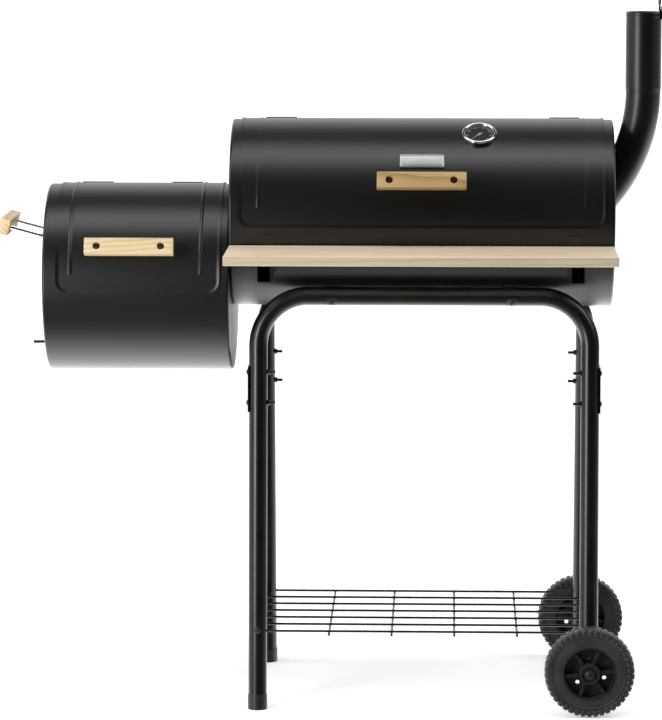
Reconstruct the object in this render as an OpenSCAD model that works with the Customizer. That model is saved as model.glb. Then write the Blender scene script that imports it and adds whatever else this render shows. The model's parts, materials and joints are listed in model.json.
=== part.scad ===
// Offset smoker: cooking barrel with a lower firebox bolted to its left end,
// elbow chimney, bent tube frame with two wheels, wooden front shelf and wire
// bottom shelf. Millimetres, +Z up, front towards -Y, origin on the floor under
// the middle of the whole smoker.

/* [Placing] */
// Middle of the barrel, to the right of the smoker's middle
barrel_x = 153.5; // [100:0.5:200]
// Barrel axis, behind the smoker's middle
barrel_y = 40; // [30:1:60]
// Barrel axis above the floor
barrel_z = 820; // [780:1:860]

/* [Barrel] */
// Outer diameter of the barrel and of the firebox
shell_d = 316; // [300:1:330]
// Length of the barrel over its end caps
barrel_len = 642; // [600:1:700]
// Sheet thickness of shells and lids
sheet_t = 1.2; // [1:0.1:2]
// Sheet thickness of the end caps
cap_t = 1.5; // [1:0.1:2.5]
// Length of the main lid
lid_len = 610; // [560:1:616]

/* [Firebox] */
// Length of the firebox over its end caps
firebox_len = 312; // [280:1:360]
// Drop of the firebox axis below the barrel axis
firebox_drop = 111; // [90:1:130]
// Length of the firebox lid
fire_lid_len = 275; // [240:1:284]

/* [Handles] */
// Length of each wooden handle
handle_len = 148; // [120:1:180]
// Height of each wooden handle
handle_h = 27; // [22:1:34]
// Thickness of each wooden handle
handle_t = 18; // [14:1:24]
// Distance between the two screws of a handle
handle_pitch = 106.6; // [80:0.2:130]
// Finger gap between handle and lid
handle_gap = 22; // [18:1:32]

/* [Chimney] */
// Outer diameter of the chimney pipe
pipe_d = 60; // [50:1:80]
// Height of the pipe's top rim
pipe_top = 1160; // [1100:1:1240]
// Bend radius of the elbow, to the pipe's middle
elbow_r = 275; // [260:1:290]
// How far the flap stands open
flap_open = 94; // [91:1:110]

/* [Frame] */
// Outer diameter of the frame tubes
tube_d = 31; // [25:1:34]
// Distance between left and right legs, middle to middle
leg_pitch = 555; // [520:1:570]
// Distance from a foot's middle to the barrel's axis plane
foot_spread = 186; // [150:1:220]
// Bend radius of the frame tubes, to the tube's middle
bend_r = 84; // [70:1:100]
// Wheel diameter
wheel_d = 150; // [140:1:160]
// Distance between the middles of the two wheels
wheel_track = 452; // [440:1:480]

/* [Shelves] */
// Length of the wooden shelf
board_len = 640; // [600:1:680]
// Depth of the wooden shelf
board_depth = 178; // [140:1:200]
// Thickness of the wooden shelf
board_t = 15; // [12:1:22]
// Height of the wooden shelf's top face
board_top = 779; // [770:1:784]
// Height of the wire shelf
wire_z = 130; // [110:1:200]
// Thickness of the shelf wires
wire_d = 3.4; // [3:0.2:6]

/* [Hidden] */
$fn = 72;
eps = 0.01;

// Angles round a shell are counted from the front, 0, over the top, 90, to the back, 180.
shell_r = shell_d / 2;
shell_in = shell_r - sheet_t;
barrel_left = barrel_x - barrel_len / 2;
barrel_right = barrel_x + barrel_len / 2;
firebox_x = barrel_left - firebox_len / 2;
firebox_left = barrel_left - firebox_len;
firebox_z = barrel_z - firebox_drop;

// End caps: a dished disc with a rounded rim and a skirt inside the shell
rim_r = 4;
skirt_len = 16;
cap_gap = 0.2;

// Lids: they lie over the opening and overlap it on every side
lid_in = shell_r + 0.7;
lid_out = lid_in + sheet_t;
lid_front = -4.2;
lid_back = 112.6;
lid_corner_r = 22;
lid_overlap = 12;
opening_front = 0;
opening_back = 108;
fire_lid_x = firebox_x + 4;
bead_w = 6;
bead_proud = 1;
bead_front = 7.2;
bead_back = 101;
bead_half = 272;
fire_bead_half = 109;

// Hinges
hinge_angle = 115;
hinge_axis_r = 163.2;
knuckle_r = 4.2;
hinge_pin_r = 2;
hinge_play = 0.05;
hinge_len = 52;
hinge_mid = 24;
hinge_gap = 0.4;
leaf_t = 1.6;
leaf_start = 96;
leaf_end = 132;
hinge_offset = 240;
fire_hinge_offset = 76.5;

// Lid handles and their M5 screws
handle_angle = 21.2;
handle_edge_r = 2;
recess_r = 5.6;
recess_depth = 6;
screw_r = 2.5;
screw_play = 0.1;
screw_head_r = 4.4;
screw_head_h = 3;
spacer_r = 5;
nut_r = 4.6;
nut_h = 4;
handle_face = lid_out + handle_gap;

// Thermometer on the main lid
gauge_x = barrel_x + 95.3;
gauge_angle = 59;
gauge_r = 28.8;
gauge_h = 11;
gauge_well_r = 26;
dial_t = 0.6;
stem_r = 3;
stem_len = 60;

// Name plate
plate_angle = 37.4;
plate_w = 72;
plate_h = 25;

// Grates
grate_rod = 5;
grate_wire = 4;
cook_z = barrel_z - 20;
coal_z = barrel_z - 76;
fire_z = firebox_z - 70;
cook_len = 296;
cook_depth = 290;
coal_len = 572;
coal_depth = 252;
fire_len = 240;
fire_depth = 250;
rest_t = 2;
rest_len = 34;

// Chimney
pipe_r = pipe_d / 2;
pipe_wall = 1.5;
pipe_x = barrel_right + 50.9;
elbow_top = 1028;
elbow_x = pipe_x - elbow_r;
entry_angle = acos((barrel_right - elbow_x) / elbow_r);
entry_z = elbow_top - elbow_r * sin(entry_angle);
flange_t = 2;
flange_y = 92;
flange_h = 142;
flap_r = 33;
flap_t = 1.5;
flap_axis_x = pipe_x + pipe_r - 1;
flap_axis_z = pipe_top + 5.4;
flap_knuckle_r = 3.4;
flap_half = 6;
ear_t = 4;
ear_gap = 0.4;
finger_t = 3.6;
finger_len = 9;
flap_pin_r = 1.6;

// Side grip on two rods, and the air shutter, on the firebox's left end
grip_tilt = 15.2;
grip_z = firebox_z + 72;
grip_rod_r = 3.4;
grip_rod_len = 65.4;
shutter_drop = 70;
shutter_r = 46;
shutter_t = 1.5;
shutter_gap = 0.3;
shutter_hole_r = 10;
shutter_hole_ring = 26;
lever_y = -70;
lever_z = -34;
lever_r = 2.5;
lever_len = 22;

// Smoke opening between the two chambers, and the bolts round it
smoke_z = barrel_z - firebox_drop / 2;
smoke_w = 180;
smoke_h = 100;
smoke_corner = 14;
joint_bolts = [[-112, -22], [-112, 22], [112, -22], [112, 22], [0, -75], [0, 75]];
m6_r = 3;

// Frame
tube_r = tube_d / 2;
tube_wall = 1.5;
frame_x = barrel_x + 4.5;
left_leg = frame_x - leg_pitch / 2;
right_leg = frame_x + leg_pitch / 2;
saddle_t = 2.3;
tube_ring = shell_r + saddle_t + tube_r;
tube_angle = -47.5;
run_y = tube_ring * cos(tube_angle);
run_z = barrel_z + tube_ring * sin(tube_angle);
splay = atan((foot_spread - run_y) / run_z);
foot_cap_r = tube_r + 1;
foot_cap_h = 24;
foot_floor = 6;
wheel_r = wheel_d / 2;
right_leg_end = 52;
barrel_bolt_x = 150;
plate_bolt_z = [512, 563];
plate_low = 497;
plate_high = 573;
plate_t = 2;

// Wheels
axle_r = 5;
axle_play = 0.06;
rim_r_out = 44;
tyre_w = 36;
hub_r = 17.2;
hub_in = 199 - wheel_track / 2;
hub_out = 249 - wheel_track / 2;
rim_w = 30;
spokes = 6;

// Wire shelf
long_wires = 7;
cross_wires = 4;
shelf_bolt_z = wire_z + 4;

// Wooden shelf and its brackets
board_back = barrel_y - shell_r + 2;
board_front = board_back - board_depth;
bracket_x = 255;
bracket_w = 22;
bracket_h = 31;
bracket_wall = 1.6;
bracket_reach = 140;
shelf_screw_y = [52, 118];

// Half the depth of a frame at height z, along the middle of its tube
function leg_y(z) = run_y + (run_z - z) * tan(splay);

// ---- Shared shapes ----

// Turns a shape drawn at a shell's front to angle a round the shell
module at_angle(a) {
    rotate([-a, 0, 0]) children();
}

// Cylinder along Y, from y = -r1 to y = -r0, so that at_angle makes it radial
module radial(r0, r1, r) {
    translate([0, -r0, 0]) rotate([90, 0, 0]) cylinder(r = r, h = r1 - r0);
}

// Cylinder along X from x0 to x1
module rod_x(x0, x1, r) {
    translate([x0, 0, 0]) rotate([0, 90, 0]) cylinder(r = r, h = x1 - x0);
}

// Cylinder along Y from y0 to y1
module rod_y(y0, y1, r) {
    translate([0, y1, 0]) rotate([90, 0, 0]) cylinder(r = r, h = y1 - y0);
}

// Sheet rolled about the X axis, centred on x = 0, from angle a0 to a1
module arc_sheet(r, t, len, a0, a1) {
    rotate([0, 90, 0]) rotate([0, 0, 270 - a1])
        rotate_extrude(angle = a1 - a0, $fn = 180)
            translate([r, -len / 2]) square([t, len]);
}

// Turns a profile about the X axis; its y runs along X
module turned_x() {
    rotate([0, 90, 0]) rotate_extrude($fn = 180) children();
}

module tube_x(len, r, wall) {
    difference() {
        rod_x(-len / 2, len / 2, r, $fn = 180);
        rod_x(-len, len, r - wall, $fn = 180);
    }
}

module hex_nut(r, h, bore) {
    difference() {
        cylinder(r = r, h = h, $fn = 6);
        translate([0, 0, -1]) cylinder(r = bore, h = h + 2);
    }
}

// Low round bolt head, flat on z = 0
module dome_head(r, h) {
    ball = (r * r + h * h) / (2 * h);
    intersection() {
        translate([0, 0, h - ball]) sphere(r = ball);
        cylinder(r = r, h = h + 1);
    }
}

// ---- Shells and lids ----

// Rolled shell of one chamber with its lid opening
module shell(len, opening_len, opening_shift) {
    difference() {
        tube_x(len - 2 * (rim_r + cap_gap), shell_r, sheet_t);
        translate([opening_shift, 0, 0])
            arc_sheet(shell_r - 10, 20, opening_len, opening_front, opening_back);
    }
}

// Section of an end cap; its outer face is y = 0 and it reaches inwards to -skirt_len
module cap_section() {
    translate([0, -cap_t]) square([shell_r - rim_r, cap_t]);
    intersection() {
        translate([shell_r - rim_r, -rim_r]) difference() {
            circle(r = rim_r, $fn = 48);
            circle(r = rim_r - cap_t, $fn = 48);
        }
        translate([shell_r - rim_r, -rim_r]) square(rim_r);
    }
    translate([shell_in - cap_t, -skirt_len]) square([cap_t, skirt_len - rim_r + 1]);
}

// End cap facing +X at x = 0
module end_cap() {
    turned_x() cap_section();
}

// Smoke opening and its bolt holes, through the plane x = 0
module smoke_cut() {
    corner_y = smoke_w / 2 - smoke_corner;
    corner_z = smoke_h / 2 - smoke_corner;
    translate([-20, -smoke_w / 2, -corner_z]) cube([40, smoke_w, 2 * corner_z]);
    translate([-20, -corner_y, -smoke_h / 2]) cube([40, 2 * corner_y, smoke_h]);
    for (y = [-corner_y, corner_y], z = [-corner_z, corner_z])
        translate([0, y, z]) rod_x(-20, 20, smoke_corner);
    for (p = joint_bolts) translate([0, p[0], p[1]]) rod_x(-20, 20, m6_r);
}

// Cuts the two lower corners of a lid round
module corner_cut(len) {
    low = lid_out * sin(lid_front);
    for (side = [-1, 1]) scale([side, 1, 1])
        translate([len / 2 - lid_corner_r, -lid_out - 1, low]) difference() {
            translate([0, 0, -1]) cube([lid_corner_r + 1, 60, lid_corner_r + 1]);
            translate([0, 0, lid_corner_r]) rod_y(-1, 61, lid_corner_r);
        }
}

// Pressed beads: two low ribs round a lid, one towards each end
module lid_beads(half, shift) {
    for (side = [-1, 1]) translate([shift + side * half, 0, 0])
        arc_sheet(lid_out - sheet_t / 2, sheet_t / 2 + bead_proud, bead_w, bead_front, bead_back);
}

// Holes for the two handle screws
module handle_holes() {
    for (x = [-handle_pitch / 2, handle_pitch / 2]) translate([x, 0, 0])
        at_angle(handle_angle) radial(lid_in - 10, lid_out + 10, screw_r + screw_play);
}

module curved_lid(len, bead, bead_shift) {
    difference() {
        union() {
            arc_sheet(lid_in, sheet_t, len, lid_front, lid_back);
            lid_beads(bead, bead_shift);
        }
        corner_cut(len);
    }
}

// ---- Hinges ----

// Moves a rod along X to the hinge's axis
module at_hinge() {
    at_angle(hinge_angle) translate([0, -hinge_axis_r, 0]) children();
}

// Leaf on the lid with the middle knuckle
module lid_leaf() {
    difference() {
        union() {
            difference() {
                arc_sheet(lid_out, leaf_t, hinge_len, leaf_start, hinge_angle - 0.8);
                for (side = [-1, 1]) translate([side * hinge_len / 2, 0, 0])
                    arc_sheet(lid_out - 2, leaf_t + 4, hinge_len - hinge_mid, lid_back, 120);
            }
            at_hinge() rod_x(-hinge_mid / 2 + 0.1, hinge_mid / 2 - 0.1, knuckle_r);
        }
        at_hinge() rod_x(-hinge_len, hinge_len, hinge_pin_r + hinge_play);
    }
}

// Leaf on the shell with the two outer knuckles
module shell_leaf() {
    inner = hinge_mid / 2 + hinge_gap;
    difference() {
        union() {
            difference() {
                arc_sheet(shell_r, leaf_t, hinge_len, hinge_angle - 0.5, leaf_end);
                arc_sheet(shell_r - 2, leaf_t + 4, 2 * inner, 110, hinge_angle + 2.4);
            }
            for (side = [-1, 1]) scale([side, 1, 1])
                at_hinge() rod_x(inner + 0.1, hinge_len / 2 - 0.1, knuckle_r);
        }
        at_hinge() rod_x(-hinge_len, hinge_len, hinge_pin_r);
    }
}

module hinge_pin() {
    at_hinge() rod_x(-hinge_len / 2 - 1, hinge_len / 2 + 1, hinge_pin_r);
}

// ---- Handles ----

// Wooden bar along X, back face on y = 0, front at -handle_t, with two recessed holes
module wooden_bar() {
    difference() {
        translate([-handle_len / 2, -handle_t, -handle_h / 2])
            cube([handle_len, handle_t, handle_h]);
        for (x = [-handle_pitch / 2, handle_pitch / 2]) translate([x, 0, 0]) {
            rod_y(-handle_t - 1, 1, screw_r + screw_play);
            rod_y(-handle_t - 1, -handle_t + recess_depth, recess_r);
        }
    }
}

module lid_handle() {
    at_angle(handle_angle) translate([0, -handle_face, 0]) wooden_bar();
}

module lid_handle_spacers() {
    for (x = [-handle_pitch / 2, handle_pitch / 2]) translate([x, 0, 0])
        at_angle(handle_angle) difference() {
            radial(lid_out, handle_face, spacer_r);
            radial(lid_out - 1, handle_face + 1, screw_r + screw_play);
        }
}

// Screws from the handle's recesses to nuts inside the lid
module lid_handle_screws() {
    seat = handle_face + handle_t - recess_depth;
    nut_top = lid_in - 0.2;
    for (x = [-handle_pitch / 2, handle_pitch / 2]) translate([x, 0, 0])
        at_angle(handle_angle) {
            radial(nut_top - nut_h - 1, seat + 1, screw_r);
            difference() {
                radial(seat, seat + screw_head_h, screw_head_r);
                radial(seat + 1.4, seat + 6, 1.4);
            }
            translate([0, -nut_top + nut_h, 0]) rotate([90, 0, 0])
                hex_nut(nut_r, nut_h, screw_r - eps);
        }
}

// ---- Grates ----

// Wire grate centred on the Z axis, top of its wires at z = 0: frame rods and cross wires
module grate(len, depth, wires) {
    frame_r = grate_rod / 2;
    wire_r = grate_wire / 2;
    for (y = [-depth / 2 + frame_r, depth / 2 - frame_r])
        translate([0, y, -frame_r]) rod_x(-len / 2, len / 2, frame_r);
    for (i = [0 : wires - 1]) {
        x = -len / 2 + frame_r + i * (len - 2 * frame_r) / (wires - 1);
        translate([x, 0, -wire_r]) rod_y(-depth / 2 + 1, depth / 2 - 1, wire_r);
    }
    translate([0, 0, -grate_wire - frame_r + 1.2]) rod_x(-len / 2, len / 2, frame_r);
}

// Ledges on both walls that hold a grate; top faces on z = top
module ledges(xs, top, depth) {
    intersection() {
        for (x = xs, side = [-1, 1])
            translate([x - rest_len / 2, side > 0 ? depth / 2 - 9 : -shell_r, top - rest_t])
                cube([rest_len, shell_r - depth / 2 + 9, rest_t]);
        rod_x(-barrel_len, barrel_len, shell_in);
    }
}

// ---- Main chamber ----

module in_barrel() {
    translate([barrel_x, barrel_y, barrel_z]) children();
}

module in_firebox() {
    translate([firebox_x, barrel_y, firebox_z]) children();
}

// Holes that the frame bolts and bracket bolts need in the barrel
module barrel_bolt_holes(r) {
    for (x = [-barrel_bolt_x, barrel_bolt_x], a = [tube_angle, 180 - tube_angle])
        translate([x, 0, 0]) at_angle(a) radial(shell_r - 10, shell_r + 50, r);
}

module main_barrel() {
    color("#262626") in_barrel() difference() {
        shell(barrel_len, lid_len - 2 * lid_overlap, 0);
        barrel_bolt_holes(m6_r);
    }
}

module main_left_cap() {
    color("#232323") difference() {
        translate([barrel_left, barrel_y, barrel_z]) mirror([1, 0, 0]) end_cap();
        translate([barrel_left, barrel_y, smoke_z]) smoke_cut();
    }
}

module main_right_cap() {
    color("#232323") difference() {
        translate([barrel_right, barrel_y, barrel_z]) end_cap();
        elbow(pipe_r - pipe_wall, entry_angle + 6);
        chimney_screw_places() rod_x(-20, 20, screw_r);
    }
}

module main_lid() {
    color("#262626") in_barrel() difference() {
        curved_lid(lid_len, bead_half, 0);
        handle_holes();
        translate([gauge_x - barrel_x, 0, 0]) at_angle(gauge_angle)
            radial(lid_in - 10, lid_out + 10, stem_r + screw_play);
    }
}

module barrel_hinge_leaves() {
    color("#1c1c1c") in_barrel() for (x = [-hinge_offset, hinge_offset])
        translate([x, 0, 0]) shell_leaf();
}

module main_lid_hinge_leaves() {
    color("#1c1c1c") in_barrel() for (x = [-hinge_offset, hinge_offset])
        translate([x, 0, 0]) lid_leaf();
}

module main_hinge_pins() {
    color("silver") in_barrel() for (x = [-hinge_offset, hinge_offset])
        translate([x, 0, 0]) hinge_pin();
}

module main_handle() {
    color("#dcb478") in_barrel() lid_handle();
}

module main_handle_spacers() {
    color("#1c1c1c") in_barrel() lid_handle_spacers();
}

module main_handle_screws() {
    color("silver") in_barrel() lid_handle_screws();
}

// Places a shape that stands on the lid at the thermometer; its z is the height over the axis
module at_gauge() {
    translate([gauge_x, barrel_y, barrel_z]) at_angle(gauge_angle)
        rotate([90, 0, 0]) children();
}

module thermometer_case() {
    well_floor = lid_out + 5;
    color("#d8d8d8") at_gauge() {
        difference() {
            union() {
                translate([0, 0, lid_out + 0.2]) cylinder(r = gauge_r - 2.5, h = gauge_h - 3);
                translate([0, 0, lid_out + gauge_h - 4]) cylinder(r = gauge_r, h = 4);
            }
            translate([0, 0, well_floor]) cylinder(r = gauge_well_r - 1.5, h = gauge_h);
            translate([0, 0, lid_out + gauge_h - 2.6]) cylinder(r = gauge_well_r, h = 2);
        }
        translate([0, 0, lid_out - stem_len]) cylinder(r = stem_r, h = stem_len + 4);
        translate([0, 0, lid_in - 5.2]) cylinder(r = 6.5, h = 5, $fn = 6);
    }
}

module thermometer_dial() {
    color("white") at_gauge() translate([0, 0, lid_out + 5])
        cylinder(r = gauge_well_r - 1.5, h = dial_t);
}

module thermometer_needle() {
    level = lid_out + 5 + dial_t + 0.3;
    color("#c02020") at_gauge() translate([0, 0, level]) rotate([0, 0, 135]) {
        translate([-0.6, -6, 0]) cube([1.2, 24, 0.5]);
        cylinder(r = 2.4, h = 1);
    }
}

module thermometer_glass() {
    color("#dfe8ee", 0.4) at_gauge() translate([0, 0, lid_out + gauge_h - 2.6])
        cylinder(r = gauge_well_r, h = 1.4);
}

// Plain plate that hugs the lid
module name_plate() {
    half_angle = plate_h / 2 / lid_out * 180 / PI;
    color("silver") in_barrel()
        arc_sheet(lid_out, 1.4, plate_w, plate_angle - half_angle, plate_angle + half_angle);
}

module cooking_grate(side) {
    color("#8c8c8c") translate([barrel_x + side * (cook_len / 2 + 2), barrel_y, cook_z])
        grate(cook_len, cook_depth, 21);
}

module cooking_grate_left() {
    cooking_grate(-1);
}

module cooking_grate_right() {
    cooking_grate(1);
}

module charcoal_grate() {
    color("#707070") translate([barrel_x, barrel_y, coal_z]) grate(coal_len, coal_depth, 24);
}

module grate_rests() {
    color("#1c1c1c") in_barrel() {
        ledges([-280, 0, 280], cook_z - barrel_z - grate_rod - 0.4, cook_depth);
        ledges([-265, 0, 265], coal_z - barrel_z - grate_rod - 0.4, coal_depth);
    }
}

// ---- Chimney ----

// Elbow as a solid bar of radius r that turns down through turn degrees
module elbow(r, turn) {
    translate([elbow_x, barrel_y, elbow_top]) rotate([90, 0, 0]) rotate([0, 0, -turn])
        rotate_extrude(angle = turn, $fn = 180) translate([elbow_r, 0]) circle(r = r, $fn = 72);
}

module pipe_solid(r, turn, below, above) {
    elbow(r, turn);
    translate([pipe_x, barrel_y, elbow_top - below]) cylinder(r = r, h = pipe_top - elbow_top + below + above);
}

module chimney_screw_places() {
    for (y = [-36, 36], z = [-60, 60])
        translate([barrel_right, barrel_y + y, entry_z + z]) children();
}

module chimney_pipe() {
    color("#202020") difference() {
        union() {
            pipe_solid(pipe_r, entry_angle + 6, 0, 0);
            translate([barrel_right, barrel_y - flange_y / 2, entry_z - flange_h / 2])
                cube([flange_t, flange_y, flange_h]);
            translate([pipe_x, barrel_y, pipe_top - 8]) cylinder(r = pipe_r + 0.9, h = 2.4);
        }
        pipe_solid(pipe_r - pipe_wall, entry_angle + 7, eps, 5);
        translate([barrel_right - 200, barrel_y - 100, entry_z - 200]) cube([200, 200, 400]);
        chimney_screw_places() rod_x(-20, 20, screw_r + screw_play);
    }
}

module chimney_screws() {
    color("#303030") chimney_screw_places() {
        rod_x(-cap_t - nut_h - 2, flange_t + 1, screw_r);
        translate([flange_t, 0, 0]) rotate([0, 90, 0]) dome_head(screw_head_r, screw_head_h);
        translate([-cap_t, 0, 0]) rotate([0, -90, 0]) hex_nut(nut_r, nut_h, screw_r - eps);
    }
}

// Flap drawn closed, relative to its hinge axis, then swung open
module chimney_flap() {
    low = pipe_top + 1 - flap_axis_z;
    reach = pipe_x - flap_axis_x;
    ear_room = flap_knuckle_r + 2;
    color("#202020") translate([flap_axis_x, barrel_y, flap_axis_z]) rotate([0, flap_open, 0])
        difference() {
            union() {
                difference() {
                    translate([reach, 0, low]) cylinder(r = flap_r, h = flap_t);
                    for (side = [-1, 1]) scale([1, side, 1])
                        translate([-ear_room, flap_half, low - 1]) cube([30, 30, flap_t + 2]);
                    translate([flap_knuckle_r - 1, -30, low - 1]) cube([30, 60, flap_t + 2]);
                }
                rod_y(-flap_half, flap_half, flap_knuckle_r);
                translate([-finger_t / 2, -4, 0]) cube([finger_t, 8, finger_len]);
            }
            rod_y(-20, 20, flap_pin_r + hinge_play);
        }
}

// Two ears on the pipe's right side; the open flap's finger rests on the step between them
module flap_bracket() {
    inner = flap_half + ear_gap;
    step_x = flap_knuckle_r + 1;
    step_top = -finger_t / 2 - 0.9;
    color("#202020") translate([flap_axis_x, barrel_y, flap_axis_z]) difference() {
        union() {
            for (side = [-1, 1]) scale([1, side, 1]) {
                rod_y(inner, inner + ear_t, flap_knuckle_r);
                translate([-flap_knuckle_r, inner, -9]) cube([2 * flap_knuckle_r, ear_t, 9]);
                translate([0, inner, -18]) cube([step_x + 3, ear_t, 14]);
            }
            translate([0, -inner - ear_t, -18]) cube([step_x + 3, 2 * (inner + ear_t), 9]);
            translate([step_x, -inner - 1, -10]) cube([3, 2 * inner + 2, 10 + step_top]);
        }
        rod_y(-20, 20, flap_pin_r);
        translate([pipe_x - flap_axis_x, 0, -60])
            cylinder(r = pipe_r, h = 60 + pipe_top - flap_axis_z);
        translate([pipe_x - flap_axis_x, 0, pipe_top - 8 - flap_axis_z])
            cylinder(r = pipe_r + 0.9, h = 2.4);
    }
}

module flap_pin() {
    color("silver") translate([flap_axis_x, barrel_y, flap_axis_z]) {
        rod_y(-11.5, 11.5, flap_pin_r);
        translate([0, -10.4, 0]) rotate([90, 0, 0]) dome_head(2.8, 1.6);
    }
}

// ---- Firebox ----

module firebox_shell() {
    color("#262626") in_firebox()
        shell(firebox_len, fire_lid_len - 2 * lid_overlap, fire_lid_x - firebox_x);
}

module grip_rod_places() {
    for (y = [-handle_pitch / 2, handle_pitch / 2])
        translate([firebox_left, barrel_y + y, grip_z]) children();
}

module shutter_ports(turn) {
    for (a = [0 : 90 : 270]) rotate([a + turn, 0, 0])
        translate([0, shutter_hole_ring, 0]) rod_x(-20, 20, shutter_hole_r);
}

module firebox_left_cap() {
    color("#232323") difference() {
        translate([firebox_left, barrel_y, firebox_z]) mirror([1, 0, 0]) end_cap();
        translate([firebox_left, barrel_y, firebox_z - shutter_drop]) {
            shutter_ports(45);
            rod_x(-20, 20, 3);
        }
        grip_rod_places() rod_x(-20, 20, 3);
    }
}

module firebox_right_cap() {
    color("#232323") difference() {
        translate([barrel_left - eps, barrel_y, firebox_z]) end_cap();
        translate([barrel_left, barrel_y, smoke_z]) smoke_cut();
    }
}

module in_fire_lid() {
    translate([fire_lid_x, barrel_y, firebox_z]) children();
}

// The firebox handle sits a little left of its lid's middle
fire_handle_shift = firebox_x - fire_lid_x - 8;

module firebox_lid() {
    color("#262626") in_fire_lid() difference() {
        curved_lid(fire_lid_len, fire_bead_half, firebox_x - fire_lid_x);
        translate([fire_handle_shift, 0, 0]) handle_holes();
    }
}

module firebox_hinge_leaves() {
    color("#1c1c1c") in_firebox() for (x = [-fire_hinge_offset, fire_hinge_offset])
        translate([x, 0, 0]) shell_leaf();
}

module firebox_lid_hinge_leaves() {
    color("#1c1c1c") in_firebox() for (x = [-fire_hinge_offset, fire_hinge_offset])
        translate([x, 0, 0]) lid_leaf();
}

module firebox_hinge_pins() {
    color("silver") in_firebox() for (x = [-fire_hinge_offset, fire_hinge_offset])
        translate([x, 0, 0]) hinge_pin();
}

module firebox_handle() {
    color("#dcb478") in_fire_lid() translate([fire_handle_shift, 0, 0]) lid_handle();
}

module firebox_handle_spacers() {
    color("#1c1c1c") in_fire_lid() translate([fire_handle_shift, 0, 0]) lid_handle_spacers();
}

module firebox_handle_screws() {
    color("silver") in_fire_lid() translate([fire_handle_shift, 0, 0]) lid_handle_screws();
}

// Bar that runs front to back, square to its two tilted rods
module side_grip() {
    color("#dcb478") translate([firebox_left, barrel_y, grip_z]) rotate([0, grip_tilt, 0])
        translate([-grip_rod_len, 0, 0]) rotate([0, 0, -90]) wooden_bar();
}

module side_grip_rods() {
    color("#d8d8d8") grip_rod_places() {
        difference() {
            rotate([0, grip_tilt, 0]) union() {
                rod_x(-grip_rod_len, 2, grip_rod_r);
                rod_x(-grip_rod_len - handle_t + recess_depth - 1, -grip_rod_len + 1, screw_r);
                rod_x(-grip_rod_len - handle_t + recess_depth - screw_head_h,
                    -grip_rod_len - handle_t + recess_depth, screw_head_r);
            }
            translate([0, -20, -20]) cube(40);
        }
        rod_x(-3, 0, 8);
        rod_x(-1, cap_t + nut_h + 2, 3);
        translate([cap_t, 0, 0]) rotate([0, 90, 0]) hex_nut(5.5, nut_h, 3 - eps);
    }
}

// Shutter disc and arm turn on one rivet; the lever rod is welded to the arm
module air_shutter() {
    arm_len = norm([lever_y, lever_z]);
    arm_angle = atan2(lever_z, lever_y);
    color("#202020")
        translate([firebox_left - shutter_gap - shutter_t, barrel_y, firebox_z - shutter_drop]) {
            difference() {
                union() {
                    rod_x(0, shutter_t, shutter_r);
                    rotate([arm_angle, 0, 0]) {
                        translate([0, 0, -7]) cube([shutter_t, arm_len, 14]);
                        translate([0, arm_len, 0]) rod_x(0, shutter_t, 7);
                    }
                }
                shutter_ports(45);
                rod_x(-20, 20, 3 + hinge_play);
            }
            translate([0, lever_y, lever_z]) rod_x(-lever_len, 0.5, lever_r);
        }
}

module shutter_rivet() {
    outer = shutter_gap + shutter_t + 0.3;
    color("silver") translate([firebox_left, barrel_y, firebox_z - shutter_drop]) {
        rod_x(-outer - 0.5, cap_t + 0.5, 3);
        translate([-outer, 0, 0]) rotate([0, -90, 0]) dome_head(6, 2.5);
        translate([cap_t, 0, 0]) rotate([0, 90, 0]) dome_head(5, 2);
    }
}

module fire_grate() {
    color("#707070") translate([fire_lid_x, barrel_y, fire_z]) grate(fire_len, fire_depth, 13);
}

module fire_grate_rests() {
    color("#1c1c1c") in_fire_lid()
        ledges([-95, 95], fire_z - firebox_z - grate_rod - 0.4, fire_depth);
}

// Bolts through both end caps, heads in the firebox
module joining_bolts() {
    color("silver") for (p = joint_bolts)
        translate([barrel_left, barrel_y + p[0], smoke_z + p[1]]) {
            rod_x(-cap_t - 1, cap_t + 8, m6_r);
            translate([-cap_t, 0, 0]) rotate([0, -90, 0]) cylinder(r = 5.8, h = 4, $fn = 6);
            translate([cap_t, 0, 0]) rotate([0, 90, 0]) hex_nut(5.8, 5, m6_r - eps);
        }
}

// ---- Frame ----

// Bent tube outline as a solid bar of radius r: top run on z = 0, legs down
module bent_bar(r, left_len, right_len) {
    half = leg_pitch / 2;
    rod_x(-half + bend_r, half - bend_r, r);
    for (side = [-1, 1]) scale([side, 1, 1]) {
        leg_len = side < 0 ? left_len : right_len;
        translate([half - bend_r, 0, -bend_r]) rotate([90, 0, 0])
            rotate_extrude(angle = 90, $fn = 144) translate([bend_r, 0]) circle(r = r, $fn = 72);
        translate([half, 0, -leg_len]) cylinder(r = r, h = leg_len - bend_r);
    }
}

// Places the front frame (side -1) or its mirror at the rear (side 1)
module in_frame(side) {
    translate([frame_x, barrel_y + side * run_y, run_z]) rotate([side * splay, 0, 0]) children();
}

function leg_run(z) = (run_z - z) / cos(splay);

module frame(side) {
    difference() {
        in_frame(side) difference() {
            bent_bar(tube_r, leg_run(foot_floor + 3), leg_run(right_leg_end));
            bent_bar(tube_r - tube_wall, leg_run(-20), leg_run(right_leg_end - 20));
        }
        in_barrel() barrel_bolt_holes(m6_r);
        plate_bolt_places() rod_x(-60, 60, screw_r);
        shelf_bolt_places() rod_y(-60, 60, screw_r);
        translate([right_leg, barrel_y, wheel_r]) rod_y(-300, 300, axle_r);
        translate([frame_x, barrel_y + side * leg_y(wire_z), wire_z])
            rod_x(-leg_pitch / 2, leg_pitch / 2, wire_d / 2);
    }
}

module front_frame() {
    color("#282828") frame(-1);
}

module rear_frame() {
    color("#282828") frame(1);
}

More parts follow.
